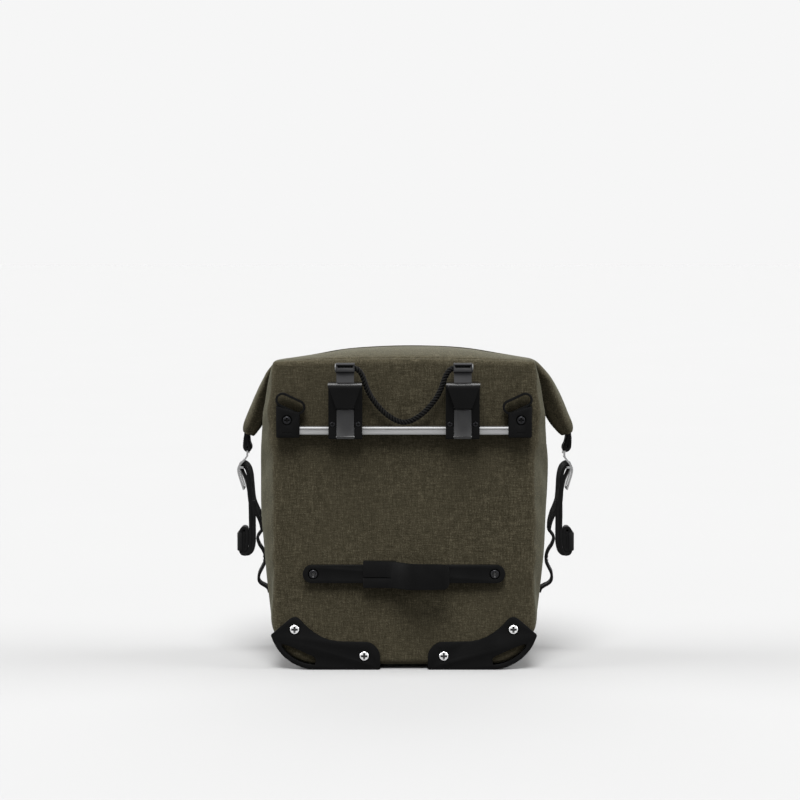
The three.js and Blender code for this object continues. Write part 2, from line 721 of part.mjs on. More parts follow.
// The right-hand guard: a face plate with a crescent window, and a lip that wraps under the corner.
function cornerGuard(name) {
  const { half, cornerRadius, bottom } = BAG;
  const centre = { x: half - cornerRadius, z: bottom + cornerRadius };
  const outer = cornerRadius + bottom;
  const { face, lip, lipDepth, inner } = GUARD;
  const start = -0.31; // the angle at which the guard's round edge begins
  const outline = new THREE.Shape();
  outline.moveTo(inner + 1.5, 0);
  outline.lineTo(centre.x, 0);
  outline.absarc(centre.x, centre.z, outer, -Math.PI / 2, start, false);
  outline.quadraticCurveTo(134.5, 35.5, 132, 37);
  outline.lineTo(115.5, 51);
  outline.quadraticCurveTo(109.5, 56, 104, 50.5);
  outline.bezierCurveTo(98, 43, 84, 29.5, 66, 28.6);
  outline.lineTo(37, 28);
  outline.bezierCurveTo(31, 27.6, inner, 20, inner, 14);
  outline.lineTo(inner, 1.5);
  outline.closePath();
  const window = new THREE.Shape();
  const sweep = { from: -1.52, to: -0.63, radius: cornerRadius - 0.6 };
  window.absarc(centre.x, centre.z, sweep.radius, sweep.from, sweep.to, false);
  window.quadraticCurveTo(124.6, 27, 120, 25.6);
  window.bezierCurveTo(111, 23.5, 100, 16.6, 92, 14);
  window.quadraticCurveTo(88, 11.5, 89, 8);
  window.closePath();
  const lipOutline = new THREE.Shape();
  lipOutline.moveTo(inner, 0);
  lipOutline.lineTo(centre.x, 0);
  lipOutline.absarc(centre.x, centre.z, outer, -Math.PI / 2, start, false);
  lipOutline.absarc(centre.x, centre.z, outer - lip, start, -Math.PI / 2, true);
  lipOutline.lineTo(inner, lip);
  lipOutline.closePath();
  const seats = GUARD_SCREWS.flatMap(([x, z]) => [
    stud(HOLE_RADIUS, x, z, -1, face + 1),
    stud(5.9, x, z, face - 1, face + 1, 20),
  ]);
  const body = cut(
    join(plate(outline, GAP, face, 6), plate(lipOutline, -lipDepth, GAP + 0.2, 6)),
    plate(window, -1, face + 1, 6),
    ...seats,
  );
  return mesh(name, body, blackPlastic);
}

function guardWithScrews(side) {
  const size = { head: 4.85, headHeight: 2.6, shank: SHANK_RADIUS, out: GUARD.face - 1 + 0.05, length: 10.5 };
  return group(
    cornerGuard(`corner_guard_${side}`),
    ...GUARD_SCREWS.map(([x, z], i) =>
      mesh(`guard_screw_${side}_${["outer", "inner"][i]}`, screw({ x, z, ...size }), steel),
    ),
  );
}

// ---------------------------------------------------------------- a side strap

const strapSlab = (outline, half = WEBBING.half) =>
  slab(outline, WEBBING.middle - half, WEBBING.middle + half);

// A doubled piece of webbing sewn into the end of the roll, looped round the G-hook's top bar.
function topWebbing(name) {
  const outline = polygon([
    [160, 228],
    [160, 219],
    [157.4, 217.4],
    [157.4, 210.2],
    [158.6, 209],
    [163.2, 209],
    [164.4, 210.2],
    [165.6, 219],
    [165.6, 228],
  ]);
  outline.holes.push(roundedBox(159, 162.8, 210.8, 216.8, 0.8));
  return mesh(name, strapSlab(outline), webbing);
}

// A bent steel plate with two windows. Its top bar hangs in the webbing, and a gap in one side of the
// upper window lets the webbing slip out, which opens the bag. The strap goes round a bar that is set in
// from the plate, and comes down inside the plate's lower end.
function gHook(name) {
  const { thick, half, windowHalf } = G_HOOK;
  const bend = [
    [160.8, 215.6],
    [160.9, 210.8],
    [163.6, 206.4],
    [168, 201.8],
    [170.2, 197.2],
    [169.6, 191.4],
    [167.2, 183.4],
    [164.6, 175.4],
  ];
  const window = (low, high) =>
    slab(roundedBox(150, 180, low, high, 1), WEBBING.middle - windowHalf, WEBBING.middle + windowHalf);
  const sideGap = slab(roundedBox(150, 180, 208.4, 211, 0.6), WEBBING.middle + 9, WEBBING.middle + 16);
  const plateBody = cut(
    strapSlab(strip(smooth(bend, 24), thick), half),
    window(206.4, 213.2),
    window(178.2, 202.4),
    sideGap,
  );
  const { x, z, radius } = STRAP_BAR;
  const bar = stud(radius, x, z, -WEBBING.middle - half, -WEBBING.middle + half, 12);
  const lugs = [-1, 1].map((s) => {
    const ends = [WEBBING.middle + s * windowHalf, WEBBING.middle + s * half].sort((a, b) => a - b);
    return slab(roundedBox(x - radius, 170, z - radius, z + radius, 0.6), ends[0] + 0.2, ends[1] - 0.2);
  });
  return mesh(name, join(plateBody, bar, ...lugs), steel);
}

// The adjustable strap: sewn to the side, up round the G-hook's bottom bar, and down again.
function sideStrap(name) {
  const route = [
    [146.6, 133.8],
    [147.2, 140.8],
    [148.6, 146.4],
    [151, 151.8],
    [153.4, 162.8],
    [154.8, 174.8],
    [157.4, 184.2],
    [160.4, 191.6],
    [162.8, 198],
    [165.6, 201.3],
    [168.3, 198.8],
    [167.8, 193.4],
    [165.6, 185.6],
    [162.4, 177.4],
    [159.6, 170],
    [158.4, 165],
  ];
  return mesh(name, strapSlab(strip(smooth(route, 40), WEBBING.thick)), webbing);
}

// A webbing sewn flat to the side at three places, with two open loops between them.
function daisyChain(name) {
  const route = [
    [146.2, 133],
    [148.6, 129.8],
    [151, 124.9],
    [149.2, 118.1],
    [146, 112.6],
    [144.6, 106.6],
    [144.2, 100.6],
    [146.4, 94.6],
    [149.4, 87.6],
    [150, 80.6],
    [147.4, 76.1],
    [142.6, 73.2],
    [140.8, 69.1],
    [140.4, 64.6],
  ];
  return mesh(name, strapSlab(strip(smooth(route, 30), WEBBING.thick)), webbing);
}

const TAIL = { x: 157.6, top: 161.6, stem: 3.6, left: 153.4, right: 172, low: 107.6, high: 137 };

// The loose end of the strap, rolled up, hanging below the G-hook.
function strapTail(name) {
  const { x, top, stem: stemThick, left, right, low, high } = TAIL;
  const stem = strip([[x, high - 4], [x, top]], stemThick);
  return mesh(name, join(strapSlab(stem), strapSlab(roundedBox(left, right, low, high, 6))), webbing);
}

// A band round the rolled-up end.
function tailKeeper(name) {
  const wall = 1.2;
  const [low, high] = [TAIL.low + 8.5, TAIL.low + 22];
  const inside = box(
    [TAIL.left - GAP, TAIL.right + GAP],
    [-WEBBING.middle - WEBBING.half - GAP, -WEBBING.middle + WEBBING.half + GAP],
    [low - 1, high + 1],
  );
  const outside = box(
    [TAIL.left - GAP - wall, TAIL.right + GAP + wall],
    [-WEBBING.middle - WEBBING.half - GAP - wall, -WEBBING.middle + WEBBING.half + GAP + wall],
    [low, high],
  );
  return mesh(name, cut(outside, inside), rubber);
}

function sideStraps(side) {
  return group(
    topWebbing(`top_webbing_${side}`),
    gHook(`g_hook_${side}`),
    sideStrap(`side_strap_${side}`),
    daisyChain(`daisy_chain_${side}`),
    strapTail(`strap_tail_${side}`),
    tailKeeper(`tail_keeper_${side}`),
  );
}

// ---------------------------------------------------------------- the whole pannier

// A mirrored copy for the left, made by the same function with its own names.
function bothSides(make) {
  const right = make("right");
  const left = make("left");
  left.scale.x = -1;
  return group(left, right);
}

function railEndSet(side) {
  return group(
    railEnd(`rail_end_${side}`),
    railEndScrew(`rail_end_screw_${side}`),
    nut(`rail_end_nut_${side}`, END_SCREW.x, END_SCREW.z),
    ropeFerrule(`rope_ferrule_${side}`),
    nut(`lower_rail_nut_${side}`, LOWER_SCREW_X, LOWER.z),
    mesh(
      `lower_rail_screw_${side}`,
      screw({
        x: LOWER_SCREW_X,
        z: LOWER.z,
        out: LOWER.to - 2.2 + 0.05,
        head: 4.8,
        headHeight: 2.6,
        shank: SHANK_RADIUS,
        length: 14,
      }),
      blackScrew,
    ),
  );
}

const hooks = bothSides((side) => {
  const hook = rackHook(side);
  // Each hook's outer screw is on the side away from the middle, so the copy is turned about.
  hook.scale.x = -1;
  hook.position.x = HOOK.x;
  return group(hook);
});

const pannier = group(
  bag(),
  mountingRail(),
  bothSides(railEndSet),
  hooks,
  ropeHandle(),
  lowerRail(),
  lowerHook(),
  bothSides(guardWithScrews),
  bothSides(sideStraps),
);
pannier.position.y = BACK_Y;

export default group(pannier);
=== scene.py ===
"""A roll-top bicycle pannier: cloth shell, rolled mouth, webbing, rope and hardware around the CAD frame.

Lengths inside this script are in millimetres and turned into metres by `metres` when a mesh is made.
`out` is how far something stands off the back panel, towards the hooks (-Y).
"""

import json
import math

import bmesh
import bpy
from mathutils import Matrix, Vector, noise


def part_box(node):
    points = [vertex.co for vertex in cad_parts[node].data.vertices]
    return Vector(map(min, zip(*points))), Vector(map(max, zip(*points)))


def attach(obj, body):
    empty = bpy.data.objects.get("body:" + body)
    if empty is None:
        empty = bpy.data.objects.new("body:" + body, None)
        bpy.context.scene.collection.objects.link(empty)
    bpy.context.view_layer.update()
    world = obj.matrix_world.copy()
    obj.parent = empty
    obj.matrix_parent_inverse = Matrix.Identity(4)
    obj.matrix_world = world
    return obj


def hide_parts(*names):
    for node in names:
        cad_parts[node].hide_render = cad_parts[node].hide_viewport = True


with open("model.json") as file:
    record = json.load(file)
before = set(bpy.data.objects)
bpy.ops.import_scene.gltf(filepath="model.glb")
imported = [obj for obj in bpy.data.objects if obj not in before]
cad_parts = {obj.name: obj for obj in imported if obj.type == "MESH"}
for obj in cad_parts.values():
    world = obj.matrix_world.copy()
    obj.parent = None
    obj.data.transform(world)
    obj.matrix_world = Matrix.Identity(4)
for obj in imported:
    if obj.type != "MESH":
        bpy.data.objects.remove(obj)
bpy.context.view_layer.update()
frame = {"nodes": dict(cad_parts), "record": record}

MM = 0.001
SIDES = {"left": -1, "right": 1}


def corners(node):
    """The lowest and highest corners of a CAD node, in millimetres."""
    low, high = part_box(node)
    return low / MM, high / MM


# ---- places taken from the frame

PANEL_LOW, PANEL_HIGH = corners("back_panel")
FRONT_HIGH = corners("front_panel")[1]
ROLL_LOW, ROLL_HIGH = corners("roll_top")

BACK_Y = PANEL_LOW.y
DEPTH = FRONT_HIGH.y - BACK_Y
HALF = PANEL_HIGH.x
TOP = PANEL_HIGH.z
BOTTOM = PANEL_LOW.z
FRONT_TOP = FRONT_HIGH.z
CORNER_RADIUS = 44
TOP_CORNER_RADIUS = 3
CROWN = 3.5  # how much higher the panel's top edge is in the middle
EDGE_RADIUS = 6  # the soft edge between a panel and the sides
BULGE = 14.4  # how far a side stands out at its fullest
BULGE_HEIGHT = 205  # where a side is fullest
BULGE_BELOW = 180  # how far below that the bulge ends
PINCH = 19  # how far the top of a side is pulled in between the panels
STRAP_Y = (ROLL_LOW.y + ROLL_HIGH.y) / 2  # the middle of the straps and of the roll
ROLL_HALF = (ROLL_HIGH.y - ROLL_LOW.y) / 2
WEB_HALF = 10  # half the width of the webbing


# ---- bodies and slots taken from the frame


def slot_of(node):
    """The material slot that the record gives a CAD node."""
    return next(row["material_slot"] for row in frame["record"]["subparts"] if row["node"] == node)


def stand_for(piece, node, *others):
    """Puts a piece on a CAD node's body in place of that node, and of others that it covers."""
    bodies = frame["record"]["behaviour"]["bodies"]
    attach(piece, next(body for body, nodes in bodies.items() if node in nodes))
    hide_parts(node, *others)


# ---- mesh helpers


def metres(points):
    """Points in millimetres, in metres."""
    return [(x * MM, y * MM, z * MM) for x, y, z in points]


def new_object(name, points, faces, material, smooth=True):
    mesh = bpy.data.meshes.new(name)
    mesh.from_pydata(metres(points), [], faces)
    mesh.materials.append(material)
    for polygon in mesh.polygons:
        polygon.use_smooth = smooth
    made = bpy.data.objects.new(name, mesh)
    bpy.context.scene.collection.objects.link(made)
    return made


def apply_modifiers(piece):
    """Replaces the piece's mesh by what its modifiers make of it."""
    depsgraph = bpy.context.evaluated_depsgraph_get()
    mesh = bpy.data.meshes.new_from_object(piece.evaluated_get(depsgraph))
    piece.modifiers.clear()
    piece.data = mesh


def subdivide(piece):
    modifier = piece.modifiers.new("subdivision", "SUBSURF")
    modifier.levels = modifier.render_levels = 1
    apply_modifiers(piece)


def rings_mesh(rings, caps=True):
    """Vertices and faces of a skin through closed rings of equal length."""
    size = len(rings[0])
    points = [p for ring in rings for p in ring]
    faces = []
    for r in range(len(rings) - 1):
        for i in range(size):
            j = (i + 1) % size
            faces.append((r * size + i, r * size + j, (r + 1) * size + j, (r + 1) * size + i))
    if caps:
        faces.append(tuple(reversed(range(size))))
        faces.append(tuple((len(rings) - 1) * size + i for i in range(size)))
    return points, faces


def face_outwards(piece):
    edit = bmesh.new()
    edit.from_mesh(piece.data)
    bmesh.ops.recalc_face_normals(edit, faces=edit.faces)
    edit.to_mesh(piece.data)
    edit.free()
    return piece


def curve_through(points):
    """Points at close, uneven steps along a smooth curve through the given ones (Catmull-Rom)."""
    given = [Vector(p) for p in points]
    ends = [given[0] * 2 - given[1], *given, given[-1] * 2 - given[-2]]
    dense = []
    steps = 16
    for a, b, c, d in zip(ends, ends[1:], ends[2:], ends[3:]):
        for k in range(steps):
            t = k / steps
            slope = (c - a) * t
            bend = (2 * a - 5 * b + 4 * c - d) * t * t
            twist = (3 * b - a - 3 * c + d) * t**3
            dense.append(0.5 * (2 * b + slope + bend + twist))
    dense.append(given[-1])
    return dense


def spline(points, count):
    """Points at even steps along a smooth curve through the given ones."""
    dense = curve_through(points)
    lengths = [0.0]
    for p, q in zip(dense, dense[1:]):
        lengths.append(lengths[-1] + (q - p).length)
    even = []
    k = 0
    for i in range(count + 1):
        target = lengths[-1] * i / count
        while k < len(lengths) - 2 and lengths[k + 1] < target:
            k += 1
        span = max(lengths[k + 1] - lengths[k], 1e-9)
        even.append(dense[k].lerp(dense[k + 1], (target - lengths[k]) / span))
    return even


# ---- node materials


def put(node, **values):
    """Sets plain values on a node's sockets, whose names are given with _ for each space."""
    for name, value in values.items():
        node.inputs[name.replace("_", " ")].default_value = value


class Shader:
    """A small builder for one node material."""

    def __init__(self, name, roughness, metallic=0.0):
        self.material = bpy.data.materials.new(name)
        self.material.use_nodes = True
        self.nodes = self.material.node_tree.nodes
        self.links = self.material.node_tree.links
        self.shader = self.nodes["Principled BSDF"]
        put(self.shader, Roughness=roughness, Metallic=metallic)
        self.place = self.nodes.new("ShaderNodeTexCoord").outputs["Object"]

    def join(self, output, target):
        self.links.new(output, target)

    def math(self, operation, a, b):
        node = self.nodes.new("ShaderNodeMath")
        node.operation = operation
        for socket, value in zip(node.inputs, (a, b)):
            if isinstance(value, (int, float)):
                socket.default_value = value
            else:
                self.join(value, socket)
        return node.outputs[0]

    def scaled(self, scale):
        """Object coordinates in metres, multiplied by a number for each axis."""
        node = self.nodes.new("ShaderNodeVectorMath")
        node.operation = "MULTIPLY"
        node.inputs[1].default_value = scale
        self.join(self.place, node.inputs[0])
        return node.outputs[0]

    def noise(self, scale, detail=2.0, roughness=0.5, stretch=(1, 1, 1)):
        node = self.nodes.new("ShaderNodeTexNoise")
        put(node, Scale=scale, Detail=detail, Roughness=roughness)
        self.join(self.scaled(stretch), node.inputs["Vector"])
        return node.outputs["Fac"]

    def ramp(self, value, stops):
        node = self.nodes.new("ShaderNodeValToRGB")
        elements = node.color_ramp.elements
        while len(elements) < len(stops):
            elements.new(0.5)
        for element, (position, colour) in zip(elements, stops):
            element.position = position
            element.color = (*colour, 1)
        self.join(value, node.inputs[0])
        return node.outputs["Color"]

    def range(self, value, low, high, to_low, to_high):
        node = self.nodes.new("ShaderNodeMapRange")
        self.join(value, node.inputs["Value"])
        put(node, From_Min=low, From_Max=high, To_Min=to_low, To_Max=to_high)
        return node.outputs["Result"]

    def mix(self, factor, a, b):
        node = self.nodes.new("ShaderNodeMix")
        node.data_type = "RGBA"
        for socket, value in ((node.inputs[0], factor), (node.inputs[6], a), (node.inputs[7], b)):
            if isinstance(value, tuple):
                socket.default_value = (*value, 1)
            else:
                self.join(value, socket)
        return node.outputs[2]

    def colour(self, output):
        self.join(output, self.shader.inputs["Base Color"])

    def roughness(self, output):
        self.join(output, self.shader.inputs["Roughness"])

    def bump(self, height, strength, distance):
        node = self.nodes.new("ShaderNodeBump")
        put(node, Strength=strength, Distance=distance)
        self.join(height, node.inputs["Height"])
        self.join(node.outputs["Normal"], self.shader.inputs["Normal"])


def canvas_material():
    """Coarse crosshatched olive cloth: short light and dark threads all three ways, over soft patches."""
    made = Shader("canvas", roughness=0.85)
    threads_per_metre = 850
    long = 0.13  # a thread's width over its length
    threads = None
    for stretch in ((long, 1, 1), (1, long, 1), (1, 1, long)):
        one = made.noise(threads_per_metre, 1.5, 0.55, stretch)
        threads = one if threads is None else made.math("ADD", threads, one)
    threads = made.math("MULTIPLY", threads, 1 / 3)
    patches = made.noise(11, 3.0, 0.6)
    flecks = made.noise(1250, 0.0)
    base = made.ramp(
        threads,
        [
            (0.38, (0.022, 0.018, 0.0085)),
            (0.47, (0.041, 0.0345, 0.0195)),
            (0.54, (0.056, 0.0475, 0.028)),
            (0.64, (0.112, 0.097, 0.062)),
        ],
    )
    worn = made.mix(made.range(patches, 0.35, 0.75, 0.0, 0.4), base, (0.056, 0.048, 0.029))
    speckled = made.mix(made.range(flecks, 0.62, 0.74, 0.0, 0.5), worn, (0.135, 0.118, 0.078))
    made.colour(speckled)
    made.bump(made.math("ADD", threads, made.math("MULTIPLY", flecks, 0.3)), 0.45, 0.0006)
    put(made.shader, Sheen_Weight=0.1, Sheen_Roughness=0.45, Sheen_Tint=(0.82, 0.9, 0.72, 1))
    put(made.shader, Specular_IOR_Level=0.15)
    return made.material


def webbing_material():
    """Black webbing: ribs across it, and a fine fuzz over them."""
    made = Shader("webbing", roughness=0.75)
    wave = made.nodes.new("ShaderNodeTexWave")
    wave.wave_type = "BANDS"
    wave.bands_direction = "Z"
    put(wave, Scale=260, Distortion=1.2, Detail=1.0)
    made.join(made.place, wave.inputs["Vector"])
    fuzz = made.noise(1400, 3.0)
    weave = made.math("ADD", wave.outputs["Fac"], made.math("MULTIPLY", fuzz, 0.8))
    made.colour(made.ramp(weave, [(0.3, (0.0018, 0.0018, 0.0019)), (1.0, (0.0065, 0.0065, 0.0067))]))
    made.bump(weave, 0.4, 0.0004)
    put(made.shader, Sheen_Weight=0.02, Specular_IOR_Level=0.12)
    return made.material


def rope_material():
    """Black fibres, some of them a little lighter."""
    made = Shader("rope", roughness=0.8)
    fibres = made.noise(2400, 2.0, 0.6)
    made.colour(made.ramp(fibres, [(0.35, (0.0012, 0.0012, 0.0012)), (0.72, (0.02, 0.0195, 0.019))]))
    made.bump(fibres, 0.4, 0.0003)
    put(made.shader, Sheen_Weight=0.03, Specular_IOR_Level=0.12)
    return made.material


def plastic_material(name, dark, light, roughness, gloss=0.16, grain=2600, strength=0.2):
    """Moulded plastic with a fine grain and slight unevenness in its gloss."""
    made = Shader(name, roughness=roughness)
    clouds = made.noise(40, 3.0, 0.6)
    made.colour(made.ramp(clouds, [(0.3, dark), (0.75, light)]))
    made.roughness(made.range(clouds, 0.3, 0.7, roughness - 0.07, roughness + 0.07))
    made.bump(made.noise(grain, 2.0), strength, 0.0003)
    put(made.shader, Specular_IOR_Level=gloss)
    return made.material


def metal_material(name, dark, light, roughness, brushed=False):
    """Metal with fine scratches, which run along X when it is brushed."""
    made = Shader(name, roughness=roughness, metallic=1.0)
    stretch = (0.02, 1, 1) if brushed else (1, 1, 1)
    lines = made.noise(2200, 3.0, 0.6, stretch)
    made.colour(made.ramp(lines, [(0.3, dark), (0.7, light)]))
    made.roughness(made.range(lines, 0.3, 0.7, roughness - 0.06, roughness + 0.08))
    made.bump(lines, 0.15, 0.0002)
    return made.material


def grey(value):
    """A grey with a slight blue cast."""
    return (value, value, value * 1.02)


# For each plastic and rubber: darkest and lightest tone, roughness, and then gloss, grain and its strength.
PLASTICS = {
    # painted shade: darker than the rope, for the grooves between its strands
    "rope_groove": (0.0008, 0.0016, 0.9, 0.02, 2400, 0.4),
    "black_plastic": (0.0029, 0.0048, 0.45, 0.075),
    "grey_plastic": (0.118, 0.138, 0.5, 0.06),
    # painted shade: a much darker grey for the top of each release strip, its eye
    "eye_plastic": (0.036, 0.044, 0.5, 0.06),
    # painted highlight: a lighter, glossier black for the hooks' upward-facing shoulder faces
    "polished_plastic": (0.005, 0.008, 0.25, 0.5),
    "board_plastic": (0.01, 0.02, 0.6),
    "keeper_rubber": (0.005, 0.009, 0.65, 0.14, 900, 0.4),
    "liner_rubber": (0.006, 0.012, 0.75, 0.14, 1200, 0.3),
    "thread": (0.012, 0.03, 0.8, 0.1, 3000, 0.5),
    # painted shade: near-black, for the insides of the screws' crosses and of the eye's slot
    "recess": (0.004, 0.012, 0.6, 0.1, 1800, 0.3),
}
# For each metal: darkest and lightest colour, roughness, and whether it is brushed.
METALS = {
    "rail_aluminium": ((0.28, 0.28, 0.28), (0.38, 0.38, 0.38), 0.5, True),
    "steel": ((0.26, 0.26, 0.26), (0.38, 0.38, 0.38), 0.25),
    "bright_screw": ((0.82, 0.82, 0.83), (0.95, 0.95, 0.95), 0.14),
    "ferrule_metal": ((0.2, 0.2, 0.2), (0.3, 0.3, 0.3), 0.5),
    "black_screw": ((0.016, 0.016, 0.018), (0.035, 0.035, 0.037), 0.3),
    # painted shade and painted reflection: a mid grey in the cross recesses, darker than bright heads and
    # lighter than black heads
    "worn_recess": ((0.055, 0.055, 0.055), (0.09, 0.09, 0.09), 0.6),
}
MATERIALS = {"canvas": canvas_material(), "webbing": webbing_material(), "rope": rope_material()}
for name, (darkest, lightest, *finish) in PLASTICS.items():
    MATERIALS[name] = plastic_material(name, grey(darkest), grey(lightest), *finish)
for name, finish in METALS.items():
    MATERIALS[name] = metal_material(name, *finish)


# ---- camera, floor and light


def camera():
    """A long lens, level with the bag's upper half and a little above it."""
    distance = 2400
    elevation = math.radians(4.0)
    target = Vector((-4, BACK_Y, 272)) * MM
    back = Vector((0, -math.cos(elevation), math.sin(elevation))) * distance * MM
    data = bpy.data.cameras.new("camera")
    data.sensor_width = 36
    data.lens = 108
    made = bpy.data.objects.new("camera", data)
    made.location = target + back
    made.rotation_euler = (math.pi / 2 - elevation, 0, 0)
    bpy.context.scene.collection.objects.link(made)
    bpy.context.scene.camera = made


BACKDROP = 0.922  # the tone that the camera and reflections see
AMBIENT = 0.3  # how much light the backdrop gives to surfaces
FLOOR_BOUNCE = 0.12  # how much light the floor sends back up
# Each sun: strength, angle, direction towards the light.
SUNS = {
    "key": (3.0, 30, (-0.03, -0.6, 1)),
    "left": (2.0, 40, (-1, 0, 0.55)),
    "right": (2.0, 40, (1, 0, 0.55)),
    "far": (1.0, 50, (0, 1, 0.6)),
}


def floor_tone():
    """The tone at which the lit floor looks as pale as the backdrop."""
    lit = AMBIENT
    for strength, _, towards in SUNS.values():
        lit += strength * Vector(towards).normalized().z / math.pi
    return BACKDROP / lit


def floor():
    """A wide pale floor, whose tone hardly varies, and which sends little light back up."""
    half = 30000
    points = [(-half, -half, 0), (half, -half, 0), (half, half, 0), (-half, half, 0)]
    made = Shader("floor", roughness=1.0)
    tone = floor_tone()
    mottled = made.ramp(made.noise(3, 2.0), [(0.3, (tone * 0.997,) * 3), (0.7, (tone * 1.003,) * 3)])
    bounced = made.nodes.new("ShaderNodeLightPath").outputs["Is Diffuse Ray"]
    made.colour(made.mix(bounced, mottled, (FLOOR_BOUNCE,) * 3))
    put(made.shader, Specular_IOR_Level=0.0)
    new_object("floor", points, [(0, 1, 2, 3)], made.material, smooth=False)


def sun(name, strength, angle, towards):
    data = bpy.data.lights.new(name, "SUN")
    data.energy = strength
    data.angle = math.radians(angle)
    made = bpy.data.objects.new(name, data)
    made.rotation_euler = Vector(towards).to_track_quat("Z", "Y").to_euler()
    bpy.context.scene.collection.objects.link(made)


def light():
    """A pale backdrop, a dimmer fill light, and the suns."""
    world = bpy.data.worlds.new("studio")
    world.use_nodes = True
    nodes, links = world.node_tree.nodes, world.node_tree.links
    background = nodes["Background"]
    put(background, Color=(1, 1, 1, 1))
    fill = nodes.new("ShaderNodeLightPath").outputs["Is Diffuse Ray"]
    strength = nodes.new("ShaderNodeMapRange")
    put(strength, To_Min=BACKDROP, To_Max=AMBIENT)
    links.new(fill, strength.inputs["Value"])
    links.new(strength.outputs["Result"], background.inputs["Strength"])
    bpy.context.scene.world = world
    for name, (strength, angle, towards) in SUNS.items():
        sun(f"sun_{name}", strength, angle, towards)
    bpy.context.scene.view_settings.view_transform = "Standard"


# ---- the cloth shell


def bulge_at(z, y):
    """How far the side stands out past the panel's edge, at a height and a depth behind the panel."""
    across = max(0.0, math.sin(math.pi * min(max(y / DEPTH, 0), 1)))
    if z < BULGE_HEIGHT:
        level = max(0.0, 1 - ((BULGE_HEIGHT - z) / BULGE_BELOW) ** 2)
        return BULGE * level * across**0.8
    rise = min(1.0, (z - BULGE_HEIGHT) / (TOP - 5 - BULGE_HEIGHT))
    lobe = BULGE * (1 - rise**3) * across ** (0.8 - 0.5 * min(1, 2 * rise))
    return lobe - PINCH * rise**1.6 * across**4


def outline_rows(inset):
    """The panel's outline as rows of (half width, z), from the bottom edge to the top edge."""
    half = HALF - inset
    low = BOTTOM + inset
    radius = CORNER_RADIUS - inset
    rows = []
    corner_steps = 9
    for i in range(corner_steps + 1):
        turn = math.pi / 2 * i / corner_steps
        rows.append((half - radius + radius * math.sin(turn), low + radius - radius * math.cos(turn)))
    side_steps = 26
    high = TOP - CROWN - inset
    top_radius = max(TOP_CORNER_RADIUS - inset, 1.0)
    for i in range(1, side_steps + 1):
        rows.append((half, low + radius + (high - top_radius - low - radius) * i / side_steps))
    top_steps = 4
    for i in range(1, top_steps + 1):
        turn = math.pi / 2 * i / top_steps
        width = half - top_radius + top_radius * math.cos(turn)
        rows.append((width, high - top_radius + top_radius * math.sin(turn)))
    return rows


CROWN_FADE = 60  # how far below the top edge its crown has faded out


def crowned(x, z):
    """Raises a point by the crown of the top edge, which fades out downwards."""
    share = max(0.0, (z - (TOP - CROWN_FADE)) / CROWN_FADE)
    return z + CROWN * share * (1 - (x / HALF) ** 2)


COLUMNS = 30  # quads across a panel


def loop_points(inset):
    """The closed outline from the bottom's left end: one point for each vertex on a panel's edge."""
    rows = outline_rows(inset)
    across = [-1 + 2 * i / COLUMNS for i in range(COLUMNS + 1)]
    bottom = [(rows[0][0] * s, rows[0][1]) for s in across]
    right = [(w, z) for w, z in rows[1:-1]]
    top = [(rows[-1][0] * s, rows[-1][1]) for s in reversed(across)]
    left = [(-w, z) for w, z in reversed(rows[1:-1])]
    return bottom + right + top + left


def outward(loop, i):
    """The direction away from the outline at its point i."""
    (ax, az), (bx, bz) = loop[i - 1], loop[(i + 1) % len(loop)]
    dx, dz = bx - ax, bz - az
    length = math.hypot(dx, dz)
    return dz / length, -dx / length


def shell_stations():
    """Pairs of (depth behind the back panel, inset of the outline) from the back edge to the front edge."""
    edge_steps = 4
    stations = []
    for i in range(edge_steps + 1):
        turn = math.pi / 2 * i / edge_steps
        stations.append((EDGE_RADIUS * (1 - math.cos(turn)), EDGE_RADIUS * (1 - math.sin(turn))))
    between = 18
    for i in range(1, between):
        stations.append((EDGE_RADIUS + (DEPTH - 2 * EDGE_RADIUS) * i / between, 0))
    return stations + [(DEPTH - y, inset) for y, inset in reversed(stations[: edge_steps + 1])]


LEVEL_BELOW = 200  # the bag is as high in front as at the back up to here
TOP_SAG = 9  # how far the top sags under the roll


def lowered(y, z):
    """The top edge comes down from the back to the front, and sags between them, under the roll."""
    share = max(0.0, (z - LEVEL_BELOW) / (TOP - LEVEL_BELOW))
    drop = (TOP - CROWN - FRONT_TOP) * y / DEPTH
    sag = TOP_SAG * math.sin(math.pi * min(1, max(0, y / DEPTH))) ** 2
    return z - share * drop - share**6 * sag


def shell_mesh():
    """A closed bag: back and front panels as grids, and one skin round the sides, the base and the top."""
    stations = shell_stations()
    base_loop = loop_points(0)
    normals = [outward(base_loop, i) for i in range(len(base_loop))]
    rings = []
    for y, inset in stations:
        ring = []
        for (x, z), (nx, nz) in zip(loop_points(inset), normals):
            beside = z < TOP - 40 or abs(nx) > 0.5
            swell = bulge_at(z, y) * nx * beside
            sink = BOTTOM * (y / DEPTH) * max(0.0, -nz)
            ring.append((x + swell, BACK_Y + y, lowered(y, crowned(x, z)) - sink))
        rings.append(ring)
    points, faces = rings_mesh(rings, caps=False)
    for station, flip in ((0, False), (len(stations) - 1, True)):
        faces += panel_faces(points, station * len(base_loop), stations[station], flip)
    return points, faces


